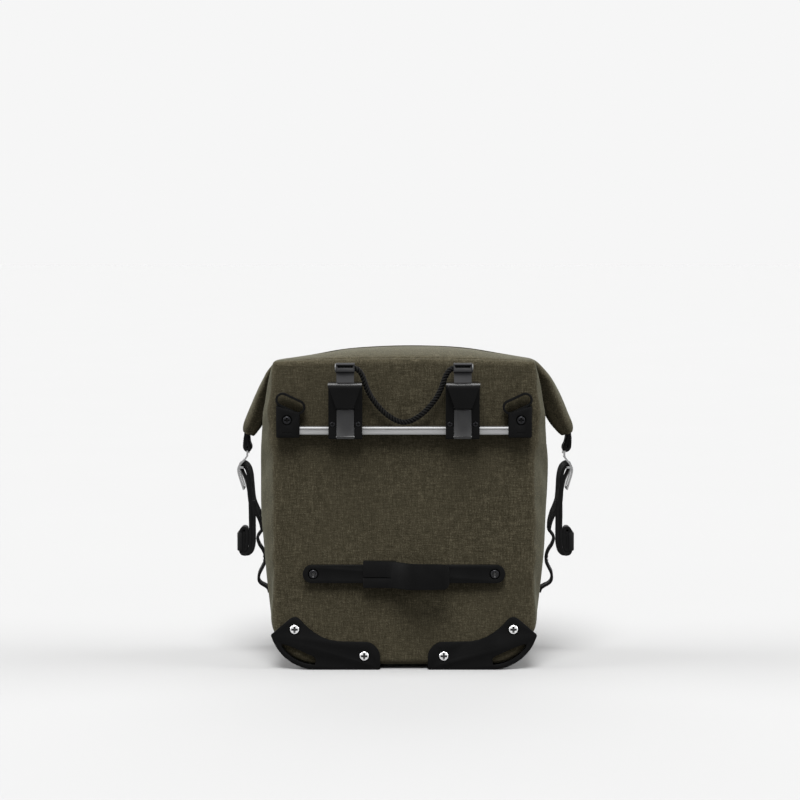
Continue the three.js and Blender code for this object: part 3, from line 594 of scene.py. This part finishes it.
def panel_faces(points, first, station, flip):
    """Fills one end of the shell with a grid whose edge is the loop that starts at vertex `first`."""
    depth, inset = station
    rows = outline_rows(inset)
    count = len(rows)
    side = count - 2

    def vertex(r, c):
        if r == 0:
            return first + c
        if r == count - 1:
            return first + COLUMNS + 1 + side + (COLUMNS - c)
        if c == COLUMNS:
            return first + COLUMNS + r
        if c == 0:
            return first + 2 * (COLUMNS + 1) + side + (side - r)
        return inner[(r, c)]

    inner = {}
    for r in range(1, count - 1):
        width, z = rows[r]
        for c in range(1, COLUMNS):
            x = width * (-1 + 2 * c / COLUMNS)
            inner[(r, c)] = len(points)
            points.append((x, BACK_Y + depth, lowered(depth, crowned(x, z))))
    made = []
    for r in range(count - 1):
        for c in range(COLUMNS):
            quad = (vertex(r, c), vertex(r, c + 1), vertex(r + 1, c + 1), vertex(r + 1, c))
            made.append(tuple(reversed(quad)) if flip else quad)
    return made


HELD_DEPTH = 3  # behind the stiff back panel's face
HELD_BASE = 12  # above the ground
HELD_TOP = 16  # below the top edge, where the roll is
MOST_MOVED = 2  # the webbing is sewn on, so the cloth under it may not move further
CLOTH_FRAMES = 21


def hold(piece):
    """Marks what the simulation leaves where it is: the back panel, the base and the top."""
    held = piece.vertex_groups.new(name="held")
    stiff = (BACK_Y + HELD_DEPTH) * MM
    for v in piece.data.vertices:
        if v.co.y < stiff or v.co.z < HELD_BASE * MM or v.co.z > (TOP - HELD_TOP) * MM:
            held.add([v.index], 1.0, "REPLACE")


def soften_shell(piece):
    """Lets the cloth swell a little by simulation, then caps how far it moved."""
    rest = [v.co.copy() for v in piece.data.vertices]
    hold(piece)
    cloth = piece.modifiers.new("cloth", "CLOTH")
    settings = cloth.settings
    settings.quality = 6
    settings.mass = 0.4
    settings.tension_stiffness = settings.compression_stiffness = 30
    settings.shear_stiffness = 12
    settings.bending_stiffness = 2.0
    settings.use_pressure = True
    settings.uniform_pressure_force = 2.0
    settings.shrink_min = -0.015
    settings.vertex_group_mass = "held"
    settings.effector_weights.gravity = 0
    cloth.collision_settings.use_collision = False
    for step in range(1, CLOTH_FRAMES + 1):
        bpy.context.scene.frame_set(step)
    apply_modifiers(piece)
    bpy.context.scene.frame_set(1)
    most = MOST_MOVED * MM
    for v, start in zip(piece.data.vertices, rest):
        move = v.co - start
        if move.length > most:
            v.co = start + move * (most / move.length)


UNEVEN = 0.9  # the height of the shallow waves in the panels and the sides


def bag_shell():
    """The bag below the roll, slightly wavy on the back panel and on the sides."""
    points, faces = shell_mesh()
    piece = face_outwards(new_object("bag_shell", points, faces, MATERIALS["canvas"]))
    soften_shell(piece)
    for v in piece.data.vertices:
        p = v.co / MM
        if p.y < BACK_Y + 1:
            wave = noise.noise(Vector((p.x / 60, 0.4, p.z / 70)))
            v.co.y += UNEVEN * wave * MM * min(1, (HALF - abs(p.x)) / 40)
        elif abs(p.x) > HALF - 30:
            v.co.x += UNEVEN * noise.noise(Vector((3.1, p.y / 26, p.z / 44))) * MM
    subdivide(piece)
    stand_for(piece, "back_panel", "gusset_wrap", "front_panel", "back_board")


# ---- the rolled mouth

# The middle of the roll from its left end to its right: x, half its thickness, z.
ROLL_ROUTE = [
    (-160.2, 5.4, 233.4), (-158.9, 8, 236.8), (-157.2, 8.9, 242), (-154.6, 8.6, 249.5),
    (-151, 7.8, 259.5), (-145.6, 7.2, 272.5), (-138.6, 7.4, 285.8), (-129.5, 7.8, 294.6),
    (-117, 8.4, 300), (-95, 8.75, 304.9), (-60, 8.75, 311.8), (-20, 8.75, 314.8),
    (20, 8.75, 315.3), (60, 8.75, 313.3), (95, 8.75, 307.6), (118, 8.4, 303),
    (131, 8.2, 299.6), (141.5, 8.2, 291.4), (149.5, 8.4, 279.3), (156, 8.6, 266),
    (161, 9.2, 252.5), (165, 10, 241.6), (167.2, 8.2, 236.6), (168.2, 5, 233.6),
]
ROLL_STEPS = 110
ROLL_TURNS = 2.75
ROLL_CLOTH = 1.3  # the cloth's thickness
CORE_HALF = 8.2  # how much narrower the roll's core is than its outside, on each side
CORE_THIN = 0.74  # the share of its thickness that the roll loses towards its core
SHOULDER = 118  # where the roll turns down to the side
SHOULDER_TOP = 303
EAR_RIDGE = 20  # how far the ears fold out over the sides


def roll_stations():
    """Points along the roll: middle, outward direction in x and z, half thickness."""
    line = spline(ROLL_ROUTE, ROLL_STEPS)
    stations = []
    for i, point in enumerate(line):
        before, after = line[max(i - 1, 0)], line[min(i + 1, len(line) - 1)]
        along = Vector((after.x - before.x, 0, after.z - before.z)).normalized()
        middle = Vector((point.x, STRAP_Y, point.z))
        stations.append((middle, Vector((-along.z, 0, along.x)), point.y))
    return stations


def signed_power(value, power):
    """Squares up a circle's sine or cosine when the power is below 1."""
    return math.copysign(abs(value) ** power, value)


SPIRAL_STEPS = 46


def spiral_ring(half_thickness):
    """The roll's section as a closed strip wound inwards: offsets across (y) and outwards."""
    sides = ([], [])
    for k in range(SPIRAL_STEPS + 1):
        share = k / SPIRAL_STEPS
        turn = -0.6 - 2 * math.pi * ROLL_TURNS * share
        for side, inset in zip(sides, (0, ROLL_CLOTH)):
            across = ROLL_HALF - CORE_HALF * share - inset
            outwards = half_thickness * (1 - CORE_THIN * share) - inset
            across *= signed_power(math.cos(turn), 0.8)
            side.append((across, outwards * signed_power(math.sin(turn), 0.85)))
    return sides[0] + sides[1][::-1]


def rolled_mouth(stations):
    """Layers of cloth rolled up, bent over the top of the bag and pulled down at both sides."""
    rings = []
    for middle, out, half in stations:
        points = []
        for across, outwards in spiral_ring(half):
            place = middle + out * outwards + Vector((0, across, 0))
            ripple = noise.noise(Vector((place.x / 34, place.y / 13, place.z / 34)))
            points.append(place + out * (0.7 * ripple) * (1 if abs(outwards) > half * 0.5 else 0))
        rings.append(points)
    points, faces = rings_mesh(rings, caps=False)
    size = len(rings[0])
    for first, flip in ((0, False), ((len(rings) - 1) * size, True)):
        for k in range(SPIRAL_STEPS):
            quad = (first + k, first + k + 1, first + size - 2 - k, first + size - 1 - k)
            faces.append(tuple(reversed(quad)) if flip else quad)
    piece = face_outwards(new_object("rolled_mouth", points, faces, MATERIALS["canvas"]))
    piece.data.set_sharp_from_angle(angle=math.radians(50))
    stand_for(piece, "roll_top")


EDGE_INSET = 2.6  # how far inside the shell's panels the webs of cloth start
EDGE_SUNK = 0.8  # and how far below their top edges


def web_edge(station, reach, facing):
    """Where the web leaves the shell: along the panel's top edge, then down to the end of the roll."""
    middle, out, half = station
    y = BACK_Y + EDGE_INSET if facing < 0 else BACK_Y + DEPTH - EDGE_INSET
    high = TOP - CROWN if facing < 0 else FRONT_TOP
    side = math.copysign(1, middle.x)
    if abs(middle.x) <= SHOULDER:
        x = middle.x * (HALF - 1) / SHOULDER
        crown = CROWN * (1 - (x / HALF) ** 2)
        return Vector((x, y, high + crown - EDGE_SUNK))
    corner = Vector((side * (HALF - 1), y, high - EDGE_SUNK))
    end = middle - out * half * 0.75 + Vector((0, facing * (ROLL_HALF - 1.5), 0))
    place = corner.lerp(end, reach**1.1)
    place.x = corner.x + (end.x - corner.x) * reach**2.2
    return place


def ear_reach(middle, end):
    """How far down an ear a point of the roll lies: 0 on the roof, and 1 at the roll's end."""
    if abs(middle.x) <= SHOULDER:
        return 0.0
    along = min(1.0, (abs(middle.x) - SHOULDER) / (abs(end.x) - SHOULDER))
    drop = (SHOULDER_TOP - middle.z) / (SHOULDER_TOP - end.z)
    return min(1.0, max(0.0, 0.35 * along + 0.65 * drop))


def tucked_points(station, reach, edge, facing):
    """The hidden start of a web's row, from inside the fold up to its edge."""
    middle, out, half = station
    inner = edge - Vector((0, facing * 9, 12))
    if reach:
        fold = Vector((math.copysign(112, middle.x), STRAP_Y + facing * 26, 290))
        inner = fold.lerp(middle - out * half * 0.3, reach**2.5)
    tuck = 1 if reach else 0.3
    return [
        inner,
        edge.lerp(inner, 0.35) - out * 2 * tuck,
        edge - out * 3.2 * tuck - Vector((0, facing * 3.5, 0)),
        edge - out * 1.2 * tuck - Vector((0, facing * 0.6, 0)),
    ]


def web_row(station, reach, facing):
    """One row of points across a web, from inside the fold, over its edge and up to the roll."""
    middle, out, half = station
    edge = web_edge(station, reach, facing)
    target = middle + out * half * 0.8 + Vector((0, facing * ROLL_HALF * 0.72, 0))
    row = tucked_points(station, reach, edge, facing)
    ridge = facing * EAR_RIDGE * min(1, 2.5 * reach) * (1 - reach) ** 0.5
    steps = 9
    for k in range(1, steps + 1):
        v = k / steps
        swell = 2.4 * math.sin(math.pi * v) * (1 - 0.5 * reach)
        place = edge.lerp(target, v) + out * swell
        place.y += ridge * math.sin(math.pi * v**1.2)
        crease = noise.noise(Vector((place.x / 16, place.y / 60, place.z / 16 + 7)))
        row.append(place + out * (1.3 * crease * math.sin(math.pi * v) * (0.25 + min(1, 3 * reach))))
    return row


def web_grid(stations, facing):
    """Rows of points across the back or the front web, one for every station of the roll."""
    ends = {-1: stations[0][0], 1: stations[-1][0]}
    grid = []
    for station in stations:
        middle = station[0]
        reach = ear_reach(middle, ends[-1 if middle.x < 0 else 1])
        grid.append(web_row(station, reach, facing))
    return grid


def roof_webs(stations):
    """The cloth between the panels and the roll: a roof on top, and a folded ear on each side."""
    for name, facing, node in (("back_web", -1, "collar_back"), ("front_web", 1, "collar_front")):
        grid = web_grid(stations, facing)
        size = len(grid[0])
        points = [p for row in grid for p in row]
        faces = []
        for r in range(len(grid) - 1):
            for c in range(size - 1):
                a = r * size + c
                faces.append((a, a + 1, a + size + 1, a + size))
        piece = new_object(name, points, faces, MATERIALS["canvas"])
        thick = piece.modifiers.new("thickness", "SOLIDIFY")
        thick.thickness = 1.2 * MM
        thick.offset = 0
        subdivide(piece)
        face_outwards(piece)
        stand_for(piece, node)


# ---- webbing


def turned(line, i):
    """The direction at right angles to a line in x and z, at its point i."""
    before, after = line[max(i - 1, 0)], line[min(i + 1, len(line) - 1)]
    along = Vector((after.x - before.x, 0, after.z - before.z)).normalized()
    return Vector((-along.z, 0, along.x))


# How much further out the right side's straps hang than the left side's: pairs of (z, distance).
SPREAD = [(60, 0), (90, 3.6), (150, 3.6), (185, 2.6), (200, 2.6), (230, 6), (TOP, 6)]


def spread(side, z):
    """How much further out a strap hangs on this side, at a height."""
    if side < 0:
        return 0.0
    for (z0, near), (z1, far) in zip(SPREAD, SPREAD[1:]):
        if z <= z1:
            return near + (far - near) * max(0.0, z - z0) / (z1 - z0)
    return SPREAD[-1][1]


def placed(side, x, y, z):
    """A point given for the right side, on either side."""
    return Vector((side * (x + spread(side, z)), y, z))


def strap_rings(route, side, count, half, thick, lean):
    """Sections of a flat strap that follows a route in x and z, with soft edges, twisted by `lean`."""
    soft = 0.4  # how wide its rounded edges are
    section = [(-half, -0.5), (-half + soft, -1), (-half / 3, -1)]
    section += [(-y, out) for y, out in reversed(section)]
    section += [(y, -out) for y, out in reversed(section)]
    line = spline([(x, 0, z) for x, z in route], count)
    rings = []
    for i, point in enumerate(line):
        out = turned(line, i)
        flat_at_ends = min(1, 6 * i / count, 6 * (count - i) / count)
        sway = 0.4 * noise.noise(Vector((side * 5, point.z / 24, i / 40)))
        ring = []
        for y, u in section:
            place = point + out * (u * thick / 2 + lean * flat_at_ends * y)
            ring.append(placed(side, place.x, STRAP_Y + y + sway, place.z))
        rings.append(ring)
    return rings


def strap(name, routes, side, node, count=70, half=WEB_HALF, thick=2.7, lean=0.0):
    """Webbing along one or more routes."""
    points, faces = [], []
    for route in routes:
        some, more = rings_mesh(strap_rings(route, side, count, half, thick, lean))
        faces += [tuple(len(points) + i for i in face) for face in more]
        points += some
    piece = face_outwards(new_object(name, points, faces, MATERIALS["webbing"]))
    piece.data.set_sharp_from_angle(angle=math.radians(50))
    stand_for(piece, node)


# Routes of the webbing on the right side, as pairs of x and z: the loop at the end of the roll,
TOP_LOOP = [
    (161.8, 236), (162.6, 230), (163.6, 221), (163.1, 217.5),
    (160.9, 215.7), (158.8, 216.6), (158.4, 219.4), (159.8, 223.4),
    (160.5, 230), (160.5, 236),
]
LOOP_SHIFT = 1.8  # how much further out the right side's loop hangs than the rest of that side

# the strap, sewn to the side, then up round the G-hook's bar and down again to its loose end,
STRAP_ROUTE = [
    (146.2, 133.5), (147.2, 141), (149.8, 149), (153, 156),
    (155.8, 163.5), (157, 172), (157.7, 181), (158.5, 189.5),
    (160.2, 196.2), (163, 200.2), (166, 201), (168, 198.6),
    (166.9, 194.8), (164.2, 188.6), (161.9, 182.4), (160.7, 176),
    (160, 170.5), (159.2, 166), (158.6, 162.8),
]
# and the webbing that is sewn down at three places, with an open loop between each two.
CHAIN_ROUTE = [
    (145.9, 133), (148.6, 129.8), (151.2, 124.9), (149.4, 118.1),
    (145.9, 112.6), (143.8, 107), (143.4, 100.6), (146, 94.6),
    (149.4, 87.6), (150.2, 81.4), (147.8, 77.4), (143.6, 75),
    (140.4, 72.6), (139, 68.6),
]
# The loose end: one layer of the strap hangs down beside the coil that it is wound into.
STEM_ROUTE = [
    (154.8, 163.4), (154.8, 140), (154.8, 121), (155.5, 115.6),
    (157, 111.6), (159.8, 109), (162.8, 108.5),
]
STEM_BESIDE = [(158.3, z) for z in (163.4, 152, 140, 128)]
COIL_MIDDLE = (164.3, 122.8)
COIL_HALF = (5.95, 15)  # half its size across and up
COIL_LAYER = 3.4  # the thickness of one layer
COIL_TURNS = 1.8


def coil_route():
    """Down beside the strap's other layer, then wound into a flat coil from the outside in."""
    route = list(STEM_BESIDE)
    steps = 30
    for k in range(steps + 1):
        share = COIL_TURNS * k / steps
        turn = math.pi * (1 + 2 * share)
        inset = (COIL_LAYER + 0.1) * share
        across = (COIL_HALF[0] - inset) * signed_power(math.cos(turn), 0.7)
        up = (COIL_HALF[1] - inset) * signed_power(math.sin(turn), 0.7)
        route.append((COIL_MIDDLE[0] + across, COIL_MIDDLE[1] + up))
    return route


KEEPER_OUTER = 170.3  # x of the clip's face
KEEPER_LIP = 166.8  # x of the ends of its arms
KEEPER_REACH = 10.4  # half its width across the webbing
KEEPER_CORNER = 2
KEEPER_MIDDLE = 121.4  # the height of its middle
KEEPER_HALF = 9.4  # half its height


def keeper_path():
    """The clip's section seen from above, as x, y and the direction that its outside faces, in degrees."""
    corner = KEEPER_OUTER - KEEPER_CORNER
    path = [(KEEPER_LIP, -KEEPER_REACH, -90), (corner - 1, -KEEPER_REACH, -90)]
    for sign, start in ((-1, -90), (1, 0)):
        for k in range(7):
            a = math.radians(start + 15 * k)
            y = sign * (KEEPER_REACH - KEEPER_CORNER) + KEEPER_CORNER * math.sin(a)
            path.append((corner + KEEPER_CORNER * math.cos(a), y, math.degrees(a)))
    return path + [(corner - 1, KEEPER_REACH, 90), (KEEPER_LIP, KEEPER_REACH, 90)]


def keeper(side):
    """A moulded clip that grips the coil's outer side and laps a little over both edges."""
    section = [(0, -1), (0.6, -1), (1, -0.92), (1, -0.4), (1, 0.4), (1, 0.92), (0.6, 1), (0, 1)]
    rings = []
    for x, y, degrees in keeper_path():
        turn = math.radians(degrees)
        thick = 0.8 + 0.6 * max(0.0, math.cos(turn)) ** 3
        out = Vector((math.cos(turn), math.sin(turn), 0))
        ring = []
        for u, v in section:
            up = Vector((0, 0, KEEPER_HALF * v))
            middle = Vector((x, STRAP_Y + y, KEEPER_MIDDLE))
            ring.append(placed(side, *(middle + out * (u * thick) + up)))
        rings.append(ring)
    return rings_mesh(rings)


STITCH = 2.6  # from one thread to the next
THREAD = (0.95, 0.32, 0.38)  # half a thread's length, width and height


def stitch_rows(rows, side):
    """Short raised threads: each row is (from, to) in x, y, z on the right side, stitched at even steps."""
    points, faces = [], []
    for start, end in rows:
        a, b = Vector(start), Vector(end)
        count = max(1, round((b - a).length / STITCH))
        along = (b - a).normalized()
        wide = along.cross(Vector((1, 0, 0))).normalized()
        out = wide.cross(along)
        along, wide, out = (axis * size for axis, size in zip((along, wide, out), THREAD))
        for k in range(count):
            middle = a.lerp(b, (k + 0.5) / count)
            first = len(points)
            points += [placed(side, *(middle + offset)) for offset in (-along, wide, along, -wide, out, -out)]
            for i in range(4):
                j = (i + 1) % 4
                faces.append((first + i, first + j, first + 4))
                faces.append((first + j, first + i, first + 5))
    return points, faces


def box_stitch(x_low, x_high, low, high, half):
    """A rectangle of stitches with a cross in it, on webbing whose outer face runs from low to high."""
    y0, y1 = STRAP_Y - half, STRAP_Y + half
    a, b, c, d = (x_low, y0, low), (x_low, y1, low), (x_high, y1, high), (x_high, y0, high)
    return [(a, b), (b, c), (c, d), (d, a), (a, c), (b, d)]


STITCH_HALF = 8.2  # half the width of a box of stitches


def side_straps(name, side):
    """The webbing of one side, the loose end that swings on it, and the stitches that hold it."""
    shift = LOOP_SHIFT if side > 0 else 0
    loop = [(x + shift, z) for x, z in TOP_LOOP]
    strap(f"top_loop_{name}", [loop], side, f"top_webbing_{name}", half=9.6, thick=3.6)
    strap(f"strap_{name}", [STRAP_ROUTE], side, f"side_strap_{name}", count=110, thick=3.1, lean=0.15)
    strap(f"chain_{name}", [CHAIN_ROUTE], side, f"daisy_chain_{name}", count=90, lean=0.05)
    routes = [coil_route(), STEM_ROUTE]
    strap(f"coil_{name}", routes, side, f"strap_tail_{name}", count=170, thick=COIL_LAYER, lean=0.04)
    points, faces = keeper(side)
    clip = face_outwards(new_object(f"keeper_{name}", points, faces, MATERIALS["keeper_rubber"]))
    clip.data.set_sharp_from_angle(angle=math.radians(40))
    stand_for(clip, f"tail_keeper_{name}")
    rows = box_stitch(147.9, 149.6, 135, 144, STITCH_HALF)
    rows += box_stitch(145, 145, 100.8, 107, STITCH_HALF)
    rows += box_stitch(165.2 + shift, 164.6 + shift, 222.5, 229, STITCH_HALF - 1)
    points, faces = stitch_rows(rows, side)
    threads = face_outwards(new_object(f"stitches_{name}", points, faces, MATERIALS["thread"], smooth=False))
    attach(threads, "bag")


# ---- the rope handle

# The left half of the rope's route: x, `out` and z, then its middle.
ROPE_ROUTE = [
    (-67.4, 14, 304.8), (-62, 14, 304.8), (-56, 14, 304.8), (-50, 14, 304.8),
    (-45.4, 13.6, 302.6), (-42, 12.9, 298), (-39.6, 12, 292), (-36.8, 11, 284),
    (-32.6, 10.2, 275.6), (-26.8, 9.4, 267.6), (-20, 8.8, 260.4), (-12.6, 8.3, 254.8),
    (-6.4, 8, 251.6),
]
ROPE_MIDDLE = (0, 8, 250.3)
ROPE_RADIUS = 2.8
ROPE_LAY = 9.6  # length of one turn of a strand
ROPE_STRANDS = 3
GROOVE_SHADE_BELOW = 0.42  # the share of a strand's height below which its skin lies in the groove and gets the darker groove material, painted shade
ROPE_AROUND = 24  # points round the rope
ROPE_ALONG = 420  # sections along it


def strand_height(step, i, k):
    """From 0 in a groove between two strands to 1 on top of a strand, at ring i and point k."""
    turn = 2 * math.pi * k / ROPE_AROUND
    twist = 2 * math.pi * i * step / ROPE_LAY
    return abs(math.cos(ROPE_STRANDS / 2 * (turn - twist)))


def rope_rings(line, step):
    """Sections of the laid rope along its middle line."""
    sideways = Vector((0, 1, 0))
    rings = []
    for i, point in enumerate(line):
        along = (line[min(i + 1, len(line) - 1)] - line[max(i - 1, 0)]).normalized()
        sideways = (sideways - along * sideways.dot(along)).normalized()
        up = along.cross(sideways)
        ring = []
        for k in range(ROPE_AROUND):
            turn = 2 * math.pi * k / ROPE_AROUND
            radius = ROPE_RADIUS * (0.6 + 0.42 * strand_height(step, i, k) ** 0.6)
            ring.append(point + (sideways * math.cos(turn) + up * math.sin(turn)) * radius)
        rings.append(ring)
    return rings


def rope():
    """Three strands laid round each other, from one hook's eye to the other's, with painted shade in the
    grooves between them.
    """
    route = [*ROPE_ROUTE, ROPE_MIDDLE, *[(-x, out, z) for x, out, z in reversed(ROPE_ROUTE)]]
    line = spline([(x, BACK_Y - out, z) for x, out, z in route], ROPE_ALONG)
    length = sum((q - p).length for p, q in zip(line, line[1:]))
    step = length / ROPE_ALONG
    points, faces = rings_mesh(rope_rings(line, step))
    piece = new_object("rope", points, faces, MATERIALS["rope"])
    piece.data.materials.append(MATERIALS["rope_groove"])
    # Painted shade: faces in the grooves between strands take a darker material.
    for polygon in piece.data.polygons:
        i, k = divmod(polygon.index, ROPE_AROUND)
        if strand_height(step, i + 0.5, k + 0.5) < GROOVE_SHADE_BELOW:
            polygon.material_index = 1
    face_outwards(piece)
    stand_for(piece, "rope_handle")


# ---- hard parts


def cleaned_copy(node):
    """A copy of a CAD part without its needless edges; the right G-hook hangs out with its strap."""
    mesh = frame["nodes"][node].data.copy()
    mesh.materials.clear()
    mesh.materials.append(MATERIALS[slot_of(node)])
    edit = bmesh.new()
    edit.from_mesh(mesh)
    bmesh.ops.remove_doubles(edit, verts=edit.verts, dist=2e-6)
    bmesh.ops.dissolve_limit(edit, angle_limit=math.radians(1.5), verts=edit.verts, edges=edit.edges)
    if node == "g_hook_right":
        for v in edit.verts:
            v.co.x += spread(1, v.co.z / MM) * MM
    edit.to_mesh(mesh)
    edit.free()
    piece = bpy.data.objects.new(f"{node}_finished", mesh)
    bpy.context.scene.collection.objects.link(piece)
    return piece


def bevelled(node, width):
    """Stands for a CAD part, with its sharp edges slightly rounded, as moulding leaves them."""
    piece = cleaned_copy(node)
    bevel = piece.modifiers.new("bevel", "BEVEL")
    bevel.width = width * MM
    bevel.segments = 2
    bevel.limit_method = "ANGLE"
    bevel.angle_limit = math.radians(35)
    bevel.use_clamp_overlap = True
    apply_modifiers(piece)
    for polygon in piece.data.polygons:
        polygon.use_smooth = True
    piece.data.set_sharp_from_angle(angle=math.radians(34))
    stand_for(piece, node)
    return piece


def tint(piece, name, chosen):
    """Gives another material to the faces that `chosen` picks by their middle, in millimetres, and normal."""
    piece.data.materials.append(MATERIALS[name])
    for polygon in piece.data.polygons:
        if chosen(polygon.center / MM, polygon.normal):
            polygon.material_index = len(piece.data.materials) - 1


def carve(piece, cutter):
    """Cuts one object out of another, which takes the cutter's material on the cut."""
    cut = piece.modifiers.new("cut", "BOOLEAN")
    cut.object = cutter
    cut.operation = "DIFFERENCE"
    cut.solver = "EXACT"
    cut.material_mode = "TRANSFER"
    apply_modifiers(piece)
    bpy.data.objects.remove(cutter)


EYE_HEIGHT = 10.4  # the top part of a release strip, which holds the rope and is coloured darker as painted shade
SLOT_BELOW = 1.7  # from the eye's top to its slot
SLOT_HEIGHT = 2.8
SLOT_HALF = (8.4, 7.4)  # half the slot's width at its top and at its bottom
CAP_SHARE = 0.4  # the share of the cap's height that stands out of the eye


def eye_slot(name):
    """The slot near the top of the eye that holds the rope, whose cut faces take the near-black recess
    plastic as painted shade.
    """
    low, high = corners(f"hook_{name}_release_strip")
    middle = (low.x + high.x) / 2
    top = high.z - SLOT_BELOW
    wide, narrow = SLOT_HALF
    outline = [(-wide, 0), (wide, 0), (narrow, -SLOT_HEIGHT), (-narrow, -SLOT_HEIGHT)]
    points = [Vector((middle + x, low.y + y, top + z)) for y in (-2, 1.6) for x, z in outline]
    faces = [(0, 1, 2, 3), (7, 6, 5, 4), *[(i, (i + 1) % 4, (i + 1) % 4 + 4, i + 4) for i in range(4)]]
    return face_outwards(new_object("slot", points, faces, MATERIALS["recess"]))


def release_strip(name):
    """The release strip, whose eye at the top gets a darker plastic as painted shade, and the cap on the
    rope's end beside the eye.
    """
    strip = bevelled(f"hook_{name}_release_strip", 0.35)
    low, high = corners(f"hook_{name}_release_strip")
    # Painted shade: the faces of the eye take the darker plastic.
    tint(strip, "eye_plastic", lambda place, normal: place.z > high.z - EYE_HEIGHT)
    carve(strip, eye_slot(name))
    cap = bevelled(f"rope_ferrule_{name}", 0.1)
    face = low.x if SIDES[name] < 0 else high.x
    for v in cap.data.vertices:
        v.co.x = (face + (v.co.x / MM - face) * CAP_SHARE) * MM


def lathe(profile, steps):
    """A body turned about the -Y axis from pairs of (radius, height)."""
    rings = []
    for k in range(steps):
        turn = 2 * math.pi * k / steps
        rings.append([Vector((r * math.cos(turn), -h, r * math.sin(turn))) for r, h in profile])
    rings.append(rings[0])
    return rings_mesh(rings, caps=False)


def screw_blank(name, head, height, shank, material):
    """A shank and a domed head, whose underside is at 0."""
    profile = [(0.01, -shank), (head * 0.45, -shank), (head * 0.45, 0), (head, 0), (head, height * 0.3)]
    steps = 7
    for k in range(1, steps + 1):
        turn = math.radians(90 * k / steps)
        profile.append((head * (0.6 + 0.4 * math.cos(turn)), height * (0.3 + 0.62 * math.sin(turn))))
    profile += [(head * 0.3, height * 0.98), (0.01, height)]
    points, faces = lathe(profile, 40)
    piece = new_object(name, points, faces, material)
    edit = bmesh.new()
    edit.from_mesh(piece.data)
    bmesh.ops.remove_doubles(edit, verts=edit.verts, dist=2e-5)
    edit.to_mesh(piece.data)
    edit.free()
    return face_outwards(piece)


def cross_cutter(head, height, material):
    """A cross that tapers inwards, to press into a head."""
    reach, narrow, deep = head * 0.74, head * 0.23, height * 0.7
    arm = [(reach, -narrow), (reach, narrow), (narrow, narrow)]
    cross = []
    while len(cross) < 12:
        cross += arm
        arm = [(-z, x) for x, z in arm]
    star = []
    for level, size in ((0.3, 1.08), (-deep, 0.5)):
        star += [Vector((x * size, -height - level, z * size)) for x, z in cross]
    sides = [(i, (i + 1) % 12, 12 + (i + 1) % 12, 12 + i) for i in range(12)]
    faces = [tuple(range(12)), tuple(range(23, 11, -1)), *sides]
    return face_outwards(new_object("cutter", star, faces, material))


def screw_head(node, head, height, recess="recess"):
    """A pan-head screw with a pressed cross recess, in place of the plain one."""
    low, high = corners(node)
    centre = Vector(((low.x + high.x) / 2, low.y + height, (low.z + high.z) / 2))
    piece = screw_blank(f"{node}_finished", head, height, high.y - centre.y, MATERIALS[slot_of(node)])
    # The cross's faces take the recess material: near-black painted shade, or the grey that is painted shade
    # in bright heads and a painted reflection in black heads.
    carve(piece, cross_cutter(head, height, MATERIALS[recess]))
    piece.data.transform(Matrix.Translation(centre * MM))
    piece.data.set_sharp_from_angle(angle=math.radians(35))
    stand_for(piece, node)


def rack_hook(name):
    """The moulded parts of one hook; the upward-facing faces of its shoulder, on both sides of the release
    strip, get a lighter and glossier plastic as a painted highlight.
    """
    release_strip(name)
    bevelled(f"hook_{name}_latch_bolt", 0.3)
    body = bevelled(f"hook_{name}_body", 0.4)
    top = corners(f"hook_{name}_body")[1].z
    # Painted highlight: upward-facing faces near the top take the lighter, glossier plastic.
    tint(body, "polished_plastic", lambda place, normal: place.z > top - 4 and normal.z > 0.5)


BEVELS = {"corner_guard": 0.7, "rail_end": 0.5, "g_hook": 0.35}


def hard_parts():
    """Gives every CAD node its material, and stands a rounded copy in for each moulded part and screw."""
    for row in frame["record"]["subparts"]:
        node = frame["nodes"][row["node"]]
        node.data.materials.clear()
        node.data.materials.append(MATERIALS[row["material_slot"]])
    for side in SIDES:
        for part, width in BEVELS.items():
            bevelled(f"{part}_{side}", width)
        rack_hook(side)
        for which in ("outer", "inner"):
            screw_head(f"guard_screw_{side}_{which}", 4.85, 2.6, "worn_recess")
            screw_head(f"hook_{side}_screw_{which}", 2.6, 1.4)
        screw_head(f"rail_end_screw_{side}", 4.2, 2.6)
        screw_head(f"lower_rail_screw_{side}", 4.6, 2.6, "worn_recess")
    bevelled("lower_rail", 0.6)
    bevelled("lower_hook", 0.5)


camera()
floor()
light()
rope()
bag_shell()
stations = roll_stations()
rolled_mouth(stations)
roof_webs(stations)
for name, side in SIDES.items():
    side_straps(name, side)
hard_parts()
